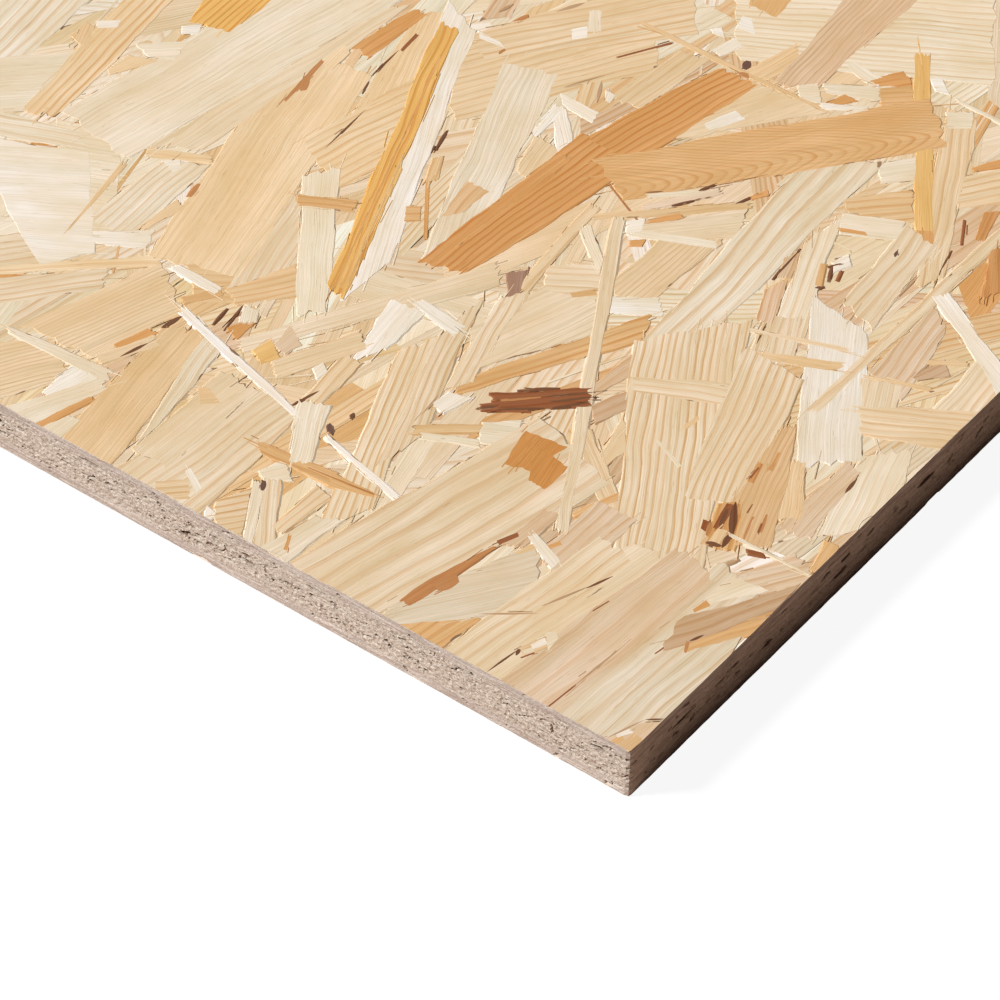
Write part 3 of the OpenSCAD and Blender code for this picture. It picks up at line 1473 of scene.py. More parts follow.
@dataclass(frozen=True)
class SawnEdge:
    """One sawn edge as a relief strip: places along it and up it, each set in by its depth.

    Loose is the share of loose grains over streaks. Near is the end at the seen corner, -1 or 1,
    or 0 where neither is, and gaps are those seen there. Cells are sizes of noise along and up.
    """

    name: str
    turn: int
    run: float
    reach: float
    key: int
    loose: float
    near: int = 0
    gaps: tuple[Gap, ...] = ()
    camera: CornerCamera = CornerCamera()
    fine: float = 0.3
    fine_run: float = 270.0
    coarse: float = 4.0
    rows: int = 41
    face_layer: float = 3.0
    void_pitch: float = 42.0
    void_length: float = 13.0
    void_height: float = 1.8
    void_depth: float = 4.0
    void_least: float = 0.35
    void_soft: float = 0.3
    chip_pitch: float = 240.0
    chip_radius: float = 9.0
    chip_depth: float = 1.2
    chip_least: float = 0.3
    pit_rate: float = 0.5
    pit_reach: float = 0.42
    pit_bunch: float = 0.5
    pit_length: tuple[float, float] = (-0.05, 0.5)
    pit_height: tuple[float, float] = (0.25, 0.55)
    pit_depth: tuple[float, float] = (0.2, 0.9)
    pit_rim: float = 1.3
    pit_skin: float = 0.25
    gap_half: float = 0.16
    gap_depth: float = 0.2
    wear_least: float = 0.45
    wear_middle: float = 0.2
    wear_run: float = 1.6
    layer_cell: tuple[float, float] = (9.0, 0.7)
    grit_cell: tuple[float, float] = (0.9, 0.7)
    torn_cell: tuple[float, float] = (0.6, 0.5)
    worn_cell: tuple[float, float] = (2.5, 3.0)
    torn: tuple[float, float] = (0.2, 2.2)
    core_from: float = 2.0
    core_soft: float = 2.0
    layer_relief: float = 0.09
    skin_relief: float = 0.04
    core_relief: float = 0.17
    relief_from: float = 0.8
    arris_wear: float = 0.10
    arris_reach: float = 0.6
    set_in: float = 0.05
    pit_dark: float = 0.6
    void_dark: float = 0.9
    lip_depth: float = 0.7
    lip_height: float = 0.9
    seed_step: float = 7000.0

    def spin(self) -> Array:
        """Gives the turn from the edge's own frame to the sheet's.

        Returns:
            The matrix, for points as rows.
        """
        angle = math.radians(self.turn)
        return np.array(
            [[math.cos(angle), math.sin(angle), 0], [-math.sin(angle), math.cos(angle), 0], [0, 0, 1]]
        )

    def stations(self) -> Array:
        """Gives the places along the edge, closer together at the near end.

        Returns:
            Places from the edge's middle.
        """
        half = self.run / 2
        if self.near == 0:
            return np.linspace(-half, half, int(self.run / self.coarse) + 1)
        close = np.arange(0.0, self.fine_run, self.fine)
        wide = np.linspace(self.fine_run, self.run, int((self.run - self.fine_run) / self.coarse))
        place = np.concatenate([close, wide]) - half
        return place if self.near < 0 else -place[::-1]

    def voids(self, along: Array, up: Array) -> Array:
        """Adds the long voids: inside two arcs on one chord, the edge is set in by the void's depth.

        Args:
            along: Places along the edge, as a column.
            up: Heights, as a row.

        Returns:
            Depth at each place.
        """
        depth = np.zeros((along.size, up.size))
        item, spots = places(self.run, self.void_pitch, self.key, 1)
        lengths = self.void_length * between(self.void_least, 1.0, chance(self.key, item, 2))
        heights = self.void_height * between(self.void_least, 1.0, chance(self.key, item, 3))
        depths = self.void_depth * between(self.void_least, 1.0, chance(self.key, item, 4))
        core = THICK - 2 * self.face_layer
        levels = self.face_layer + between(heights / 2, core - heights / 2, chance(self.key, item, 5))
        for spot, length, height, deep, level in zip(spots, lengths, heights, depths, levels):
            window = slice(*np.searchsorted(along, (spot - length / 2, spot + length / 2)))
            radius = (length * length + height * height) / (4 * height)
            off = along[window] - spot
            half = np.sqrt(radius * radius - off * off) - radius + height / 2
            room = half[:, None] - np.abs(up - level)[None]
            depth[window] = np.maximum(depth[window], deep * np.clip(room / self.void_soft, 0.0, 1.0))
        return depth

    def chips(self, along: Array, up: Array) -> Array:
        """Adds scooped chips: a ball outside each arris takes away what lies inside it.

        Args:
            along: Places along the edge.
            up: Heights.

        Returns:
            Depth at each place.
        """
        depth = np.zeros((along.size, up.size))
        radius = self.chip_radius
        for side in (1, -1):
            item, spots = places(self.run, self.chip_pitch, self.key, 6 + side)
            deep = self.chip_depth * between(self.chip_least, 1.0, chance(self.key, item, 8 + side))
            arris = THICK if side > 0 else 0.0
            for spot, cut in zip(spots, deep):
                reach = (radius - cut) / math.sqrt(2)
                window = slice(*np.searchsorted(along, (spot - radius, spot + radius)))
                off = (along[window] - spot)[:, None] ** 2 + (up - arris - side * reach)[None] ** 2
                room = np.sqrt(np.maximum(radius * radius - off, 0.0)) - reach
                depth[window] = np.maximum(depth[window], room)
        return depth

    def pits(self, along: Array, up: Array, ragged: Array, rng: np.random.Generator) -> Array:
        """Adds small torn pits between the core's strands: ragged flat ovals, deepest in the middle.

        Args:
            along: Places along the edge.
            up: Heights.
            ragged: Factor on each place's distance from a pit's middle.
            rng: Source of chance.

        Returns:
            Depth at each place.
        """
        depth = np.zeros((along.size, up.size))
        count = int(self.run * self.pit_rate)
        spots = rng.uniform(-self.run / 2, self.run / 2, count)
        bunched = np.clip(rng.normal(0.0, self.pit_bunch, count), -1.0, 1.0)
        levels = THICK * (0.5 + self.pit_reach * bunched)
        lengths = np.exp(rng.normal(*self.pit_length, count))
        heights = rng.uniform(*self.pit_height, count)
        deeps = rng.uniform(*self.pit_depth, count)
        for spot, level, length, height, deep in zip(spots, levels, lengths, heights, deeps):
            window = slice(*np.searchsorted(along, (spot - 2 * length, spot + 2 * length)))
            off = ((along[window] - spot) / length)[:, None] ** 2 + ((up - level) / height)[None] ** 2
            room = np.clip(self.pit_rim - off * ragged[window], 0.0, 1.0)
            depth[window] = np.maximum(depth[window], deep * room)
        return depth

    def seen(self, along: Array, up: Array, ragged: Array) -> Array:
        """Adds the gaps that were read off this edge: ragged grooves from one end of each to the other.

        The depth falls with the squared distance from the line between a gap's ends.

        Args:
            along: Places along the edge.
            up: Heights.
            ragged: Factor on each place's squared distance.

        Returns:
            Depth at each place.
        """
        depth = np.zeros((along.size, up.size))
        spin = self.spin()
        for gap in self.gaps:
            hits = self.camera.cast(np.array([gap.start, gap.end]), spin[1], -self.reach) @ spin.T
            start, end = hits[:, [0, 2]]
            way = end - start
            half = gap.high * self.gap_half
            ends = (min(start[0], end[0]) - 2 * half, max(start[0], end[0]) + 2 * half)
            window = slice(*np.searchsorted(along, ends))
            place, height = np.meshgrid(along[window] - start[0], up - start[1], indexing="ij")
            share = np.clip((place * way[0] + height * way[1]) / (way @ way), 0.0, 1.0)
            off = ((place - share * way[0]) ** 2 + (height - share * way[1]) ** 2) / half**2
            room = np.clip(self.pit_rim - off * ragged[window], 0.0, 1.0)
            depth[window] = np.maximum(depth[window], self.gap_depth * (1.0 + gap.high) * room)
        return depth

    def wear(self, up: Array) -> Array:
        """Gives how far the sheet's upright corners are worn: waves over the height, most at mid height.

        Args:
            up: Heights.

        Returns:
            Distance along both edges that is worn away.
        """
        share = up / THICK
        middle = 4.0 * share * (1.0 - share)
        waves = 0.22 * np.sin(1.9 * up + 0.6) + 0.14 * np.sin(4.3 * up)
        return self.wear_least + middle * (self.wear_middle + waves)

    def build(self, material: bpy.types.Material, rng: np.random.Generator) -> bpy.types.Object:
        """Makes the strip: points (place, depth, height), turned about the sheet's middle.

        Args:
            material: Finish.
            rng: Source of chance.

        Returns:
            The piece.
        """
        along = self.stations()
        up = np.linspace(0.0, THICK, self.rows)
        place, height = np.meshgrid(along, up, indexing="ij")
        distance = place + self.run / 2
        layers = lattice_noise(distance, height, self.layer_cell, rng)
        grit = lattice_noise(distance, height, self.grit_cell, rng)
        ragged = self.torn[0] + self.torn[1] * lattice_noise(distance, height, self.torn_cell, rng)
        skin = np.minimum(height, THICK - height)
        core = np.clip((skin - self.core_from) / self.core_soft, 0.0, 1.0)
        grits = (self.skin_relief + self.core_relief * core) * self.loose * grit
        relief = (self.layer_relief * layers + grits) * np.clip(skin / self.relief_from, 0.0, 1.0)
        torn = np.clip(core + self.pit_skin, 0.0, 1.0) * self.loose
        pits = self.pits(along, up, ragged, rng) * torn
        voids = np.maximum(self.voids(along, up), self.seen(along, up, ragged))
        worn = self.arris_wear * np.clip(1.0 - skin / self.arris_reach, 0.0, 1.0)
        worn = worn * (0.5 + lattice_noise(distance, height, self.worn_cell, rng))
        cuts = np.maximum(np.maximum(pits, voids), self.chips(along, up))
        depth = self.set_in + relief + cuts + worn
        # Painted shade: pits and voids darken by how deep they are cut.
        dark = np.clip(np.maximum(pits / self.pit_dark, voids / self.void_dark), 0.0, 1.0)
        first = np.clip(1.0 - distance / self.wear_run, 0.0, 1.0)
        last = np.clip(1.0 - (self.run - distance) / self.wear_run, 0.0, 1.0)
        either = np.maximum(first, last)
        depth = depth * (1.0 - either) + self.wear(height) * either
        place = place + self.wear(height) * (first - last)
        lip = np.ones((along.size, 1))
        depth = np.concatenate([lip * self.lip_depth, depth, lip * self.lip_depth], axis=1)
        height = np.concatenate([lip * self.lip_height, height, lip * (THICK - self.lip_height)], axis=1)
        dark = np.concatenate([lip * 0, dark, lip * 0], axis=1)
        place = np.concatenate([place[:, :1], place, place[:, -1:]], axis=1)
        points = np.stack([place, depth - self.reach, height], axis=-1).reshape(-1, 3)
        faces = grid_faces(*height.shape)
        seed = np.full_like(place, self.key * self.seed_step)
        fields = {
            "cut": np.stack([place, height, seed], axis=-1).reshape(-1, 3) * MM,
            "pit": dark.ravel(),
            "loose": np.full(dark.size, self.loose),
        }
        shares = np.meshgrid(along / self.run + 0.5, np.linspace(0.0, 1.0, height.shape[1]), indexing="ij")
        spread = np.stack(shares, axis=-1).reshape(-1, 2)
        return make_piece(self.name, points @ self.spin(), faces, material, fields, spread)


@dataclass(frozen=True)
class Core:
    """Inner body that closes the sheet behind the face strands and the edge strips."""

    inset: float = 6.0
    low: float = 0.5

    def build(self, material: bpy.types.Material) -> bpy.types.Object:
        """Makes a plain box inside the sheet.

        Args:
            material: Finish.

        Returns:
            The piece.
        """
        half = np.array([LENGTH / 2 - self.inset, WIDTH / 2 - self.inset])
        x, y, z = np.meshgrid([-half[0], half[0]], [-half[1], half[1]], [self.low, THICK - self.low])
        points = np.stack([x.ravel(), y.ravel(), z.ravel()], axis=1)
        order = np.lexsort((points[:, 0], points[:, 1], points[:, 2]))
        faces = np.array(
            [[0, 2, 3, 1], [4, 5, 7, 6], [0, 1, 5, 4], [2, 6, 7, 3], [0, 4, 6, 2], [1, 3, 7, 5]]
        )
        points = points[order]
        return make_piece("panel_core", points, faces, material, {}, flat_map(points))


@dataclass(frozen=True)
class Studio:
    """Soft key light from the image's left, a low fill, and a pale floor that stays white to the eye."""

    key_strength: float = 4.5
    key_angle: float = 9.0
    key_plan: float = 134.0
    key_height: float = 42.0
    fill: float = 0.006
    bounce: float = 0.61
    warmth: Colour = (1.0, 0.68, 0.54, 1.0)
    floor_half: float = 60.0
    floor_level: float = -0.0004
    floor_white: Colour = (0.1, 0.1, 0.1, 1.0)
    floor_glow: float = 0.92
    background: Colour = (1.0, 1.0, 1.0, 1.0)

    def light(self) -> None:
        """Adds the key light.

        Returns:
            None.
        """
        data = bpy.data.lights.new("key", "SUN")
        data.energy = self.key_strength
        data.angle = math.radians(self.key_angle)
        lamp = bpy.data.objects.new("key", data)
        lamp.rotation_euler = (
            math.radians(90.0 - self.key_height),
            0.0,
            math.radians(self.key_plan + 90.0),
        )
        bpy.context.scene.collection.objects.link(lamp)

    def world(self) -> None:
        """Sets the fill light and a white background.

        Returns:
            None.
        """
        world = bpy.data.worlds.new("studio")
        world.use_nodes = True
        bpy.context.scene.world = world
        nodes = Nodes(world.node_tree)
        seen = self.seen(nodes)
        shade = world.node_tree.nodes["Background"]
        strength = nodes.math("MULTIPLY_ADD", seen, 1.0 - self.fill, self.fill)
        nodes.feed(shade.inputs["Strength"], strength)
        nodes.feed(shade.inputs["Color"], nodes.blend(seen, self.warmth, self.background))

    def seen(self, nodes: Nodes) -> Socket:
        """Tells the rays that show the background from those that carry light.

        Args:
            nodes: Builder of the tree.

        Returns:
            1 for camera, mirror and glass rays.
        """
        path = nodes.add("ShaderNodeLightPath")
        either = nodes.math("MAXIMUM", path.outputs["Is Camera Ray"], path.outputs["Is Glossy Ray"])
        return nodes.math("MAXIMUM", either, path.outputs["Is Transmission Ray"])

    def floor(self) -> None:
        """Adds the floor: a dull plane for the light that it throws back, near white to the eye.

        Returns:
            None.
        """
        half = self.floor_half
        mesh = bpy.data.meshes.new("floor")
        signs = ((-1, -1), (1, -1), (1, 1), (-1, 1))
        corners = [(x * half, y * half, self.floor_level) for x, y in signs]
        mesh.from_pydata(corners, [], [(0, 1, 2, 3)])
        material = bpy.data.materials.new("floor")
        material.use_nodes = True
        tree = material.node_tree
        tree.nodes.clear()
        nodes = Nodes(tree)
        out = nodes.add("ShaderNodeOutputMaterial")
        dull = nodes.add("ShaderNodeBsdfDiffuse")
        thrown = [self.bounce * part for part in self.warmth[:3]]
        dull.inputs["Color"].default_value = (*thrown, 1.0)
        bright = nodes.add("ShaderNodeBsdfDiffuse")
        bright.inputs["Color"].default_value = self.floor_white
        glow = nodes.add("ShaderNodeEmission")
        glow.inputs["Strength"].default_value = self.floor_glow
        both = nodes.add("ShaderNodeAddShader")
        nodes.feed(both.inputs[0], bright.outputs[0])
        nodes.feed(both.inputs[1], glow.outputs[0])
        pick = nodes.add("ShaderNodeMixShader")
        nodes.feed(pick.inputs[0], self.seen(nodes))
        nodes.feed(pick.inputs[1], dull.outputs[0])
        nodes.feed(pick.inputs[2], both.outputs[0])
        nodes.feed(out.inputs["Surface"], pick.outputs[0])
        mesh.materials.append(material)
        floor = bpy.data.objects.new("floor", mesh)
        bpy.context.scene.collection.objects.link(floor)
        floor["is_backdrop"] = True

    def build(self) -> None:
        """Sets up light, background, floor and colour handling.

        Returns:
            None.
        """
        self.light()
        self.world()
        self.floor()
        bpy.context.scene.view_settings.view_transform = "Standard"


PINCHED_TONES: dict[Tone, float] = {Tone.CRACK_SHADE: 1.0, Tone.SEAM_SHADE: 1.0, Tone.CHAR: 0.6, Tone.RUST: 0.4}

SPLINTER_SHADES: dict[tuple[float, float, float], float] = {
    (1.05, 1.07, 1.10): 0.35,
    (0.97, 0.94, 0.88): 0.45,
    (0.85, 0.74, 0.60): 0.17,
    (0.60, 0.46, 0.34): 0.03,
}


@dataclass(frozen=True)
class NearCorner:
    """Strands that show at the near corner, each in its seen place, lowest first."""

    camera: CornerCamera
    strands: tuple[Strand, ...]
    level: float = 0.225
    even: float = 0.14
    gap: float = 0.006
    snap: float = 2.2
    sunk: float = 0.2
    light_stray: float = 0.012
    ring_stray: tuple[float, float] = (0.85, 1.2)
    fray: float = 2.4
    fray_share: float = 0.055

    def heights(self, quads: Array) -> Array:
        """Sets the strands' heights in their order, with a clear gap where two of them overlap.

        Args:
            quads: Corners of the strands.

        Returns:
            Height of each strand over the lowest one's base.
        """
        outline = quads[:, [0, 1, 3, 2]]
        sides = np.roll(outline, -1, axis=1) - outline
        normals = np.stack([-sides[..., 1], sides[..., 0]], axis=-1)
        spans = np.einsum("ind,jpd->ijnp", normals, outline)
        low = spans.min(axis=-1)
        high = spans.max(axis=-1)
        own = np.arange(len(quads))
        apart = (low > high[own, own][:, None]) | (high < low[own, own][:, None])
        apart = apart.any(axis=-1)
        overlaps = ~(apart | apart.T)
        heights = np.linspace(0.0, self.even, len(quads))
        for item in range(1, len(quads)):
            below = heights[:item][overlaps[item, :item]]
            heights[item] = max(heights[item], below.max(initial=0.0) + self.gap)
        return self.level + heights

    def build(self, rng: np.random.Generator) -> StrandSet:
        """Casts the strands onto the sheet's face; corners close to an arris go past it, to be cut there.

        Args:
            rng: Source of chance.

        Returns:
            The strands.
        """
        points = np.array([strand.quad for strand in self.strands]).reshape(-1, 4, 2)
        quads = self.camera.cast(points, np.array([0.0, 0.0, 1.0]), THICK - self.sunk)[..., :2]
        corner = np.asarray(self.camera.corner[:2])
        quads = np.where(quads < corner + self.snap, quads - 2 * self.snap, quads)
        tints = np.array([strand.tone.linear() for strand in self.strands])
        tints = tints * rng.normal(1.0, self.light_stray, (len(tints), 1))
        figures = np.array([strand.grain.value for strand in self.strands])
        figures[:, 0] *= rng.uniform(*self.ring_stray, len(figures))
        length = np.linalg.norm(quads[:, 2] - quads[:, 0], axis=1)
        frays = np.minimum(self.fray, length * self.fray_share)
        pinches = np.array([PINCHED_TONES.get(strand.tone, 0.0) for strand in self.strands])
        return StrandSet(quads, tints, figures, self.heights(quads), frays, pinches)


@dataclass(frozen=True)
class Splinters:
    """Thin splinters that lift along the sides and ends of larger strands and break their outlines."""

    count: int = 1500
    length: tuple[float, float] = (2.5, 15.0)
    width: tuple[float, float] = (0.22, 0.9)
    spread: float = 5.0
    rise: float = 0.003
    weights: tuple[float, float, float, float] = (1.0, 1.0, 3.0, 3.0)
    stray: float = 0.5
    longest: float = 0.2
    brightest: float = 0.93
    fray: float = 0.2
    pinch: float = 0.7

    def strew(self, strands: StrandSet, rng: np.random.Generator) -> StrandSet:
        """Makes splinters at chance places on the strands' outlines, each turned nearly along its strand.

        Args:
            strands: The larger strands.
            rng: Source of chance.

        Returns:
            The splinters, each just above its strand.
        """
        quads = strands.quads
        starts = quads[:, [0, 1, 0, 2]].reshape(-1, 2)
        ways = quads[:, [2, 3, 1, 3]].reshape(-1, 2) - starts
        weights = np.linalg.norm(ways, axis=1) * np.tile(self.weights, len(quads))
        pick = rng.choice(len(weights), self.count, p=weights / weights.sum())
        owner = pick // 4
        middle = starts[pick] + ways[pick] * rng.random((self.count, 1))
        middle = middle + rng.normal(0.0, self.stray, (self.count, 2))
        run = quads[owner, 2] + quads[owner, 3] - quads[owner, 0] - quads[owner, 1]
        angle = np.arctan2(run[:, 1], run[:, 0]) + np.radians(rng.normal(0.0, self.spread, self.count))
        along = np.stack([np.cos(angle), np.sin(angle)], axis=1)
        across = np.stack([-along[:, 1], along[:, 0]], axis=1)
        length = np.exp(rng.uniform(*np.log(self.length), self.count))[:, None]
        length = np.minimum(length, self.longest * np.linalg.norm(run, axis=1)[:, None])
        width = np.exp(rng.uniform(*np.log(self.width), self.count))[:, None]
        corners = [
            middle + end * along * length / 2 + sign * across * width / 2
            for end in (-1, 1)
            for sign in (-1, 1)
        ]
        shades = np.array(list(SPLINTER_SHADES))
        shade = shades[rng.choice(len(shades), self.count, p=tuple(SPLINTER_SHADES.values()))]
        return StrandSet(
            np.stack(corners, axis=1),
            np.minimum(strands.tints[owner] * shade, self.brightest),
            np.tile(Grain.PLAIN.value, (self.count, 1)),
            strands.levels[owner] + self.rise,
            np.full(self.count, self.fray),
            np.full(self.count, self.pinch),
        )
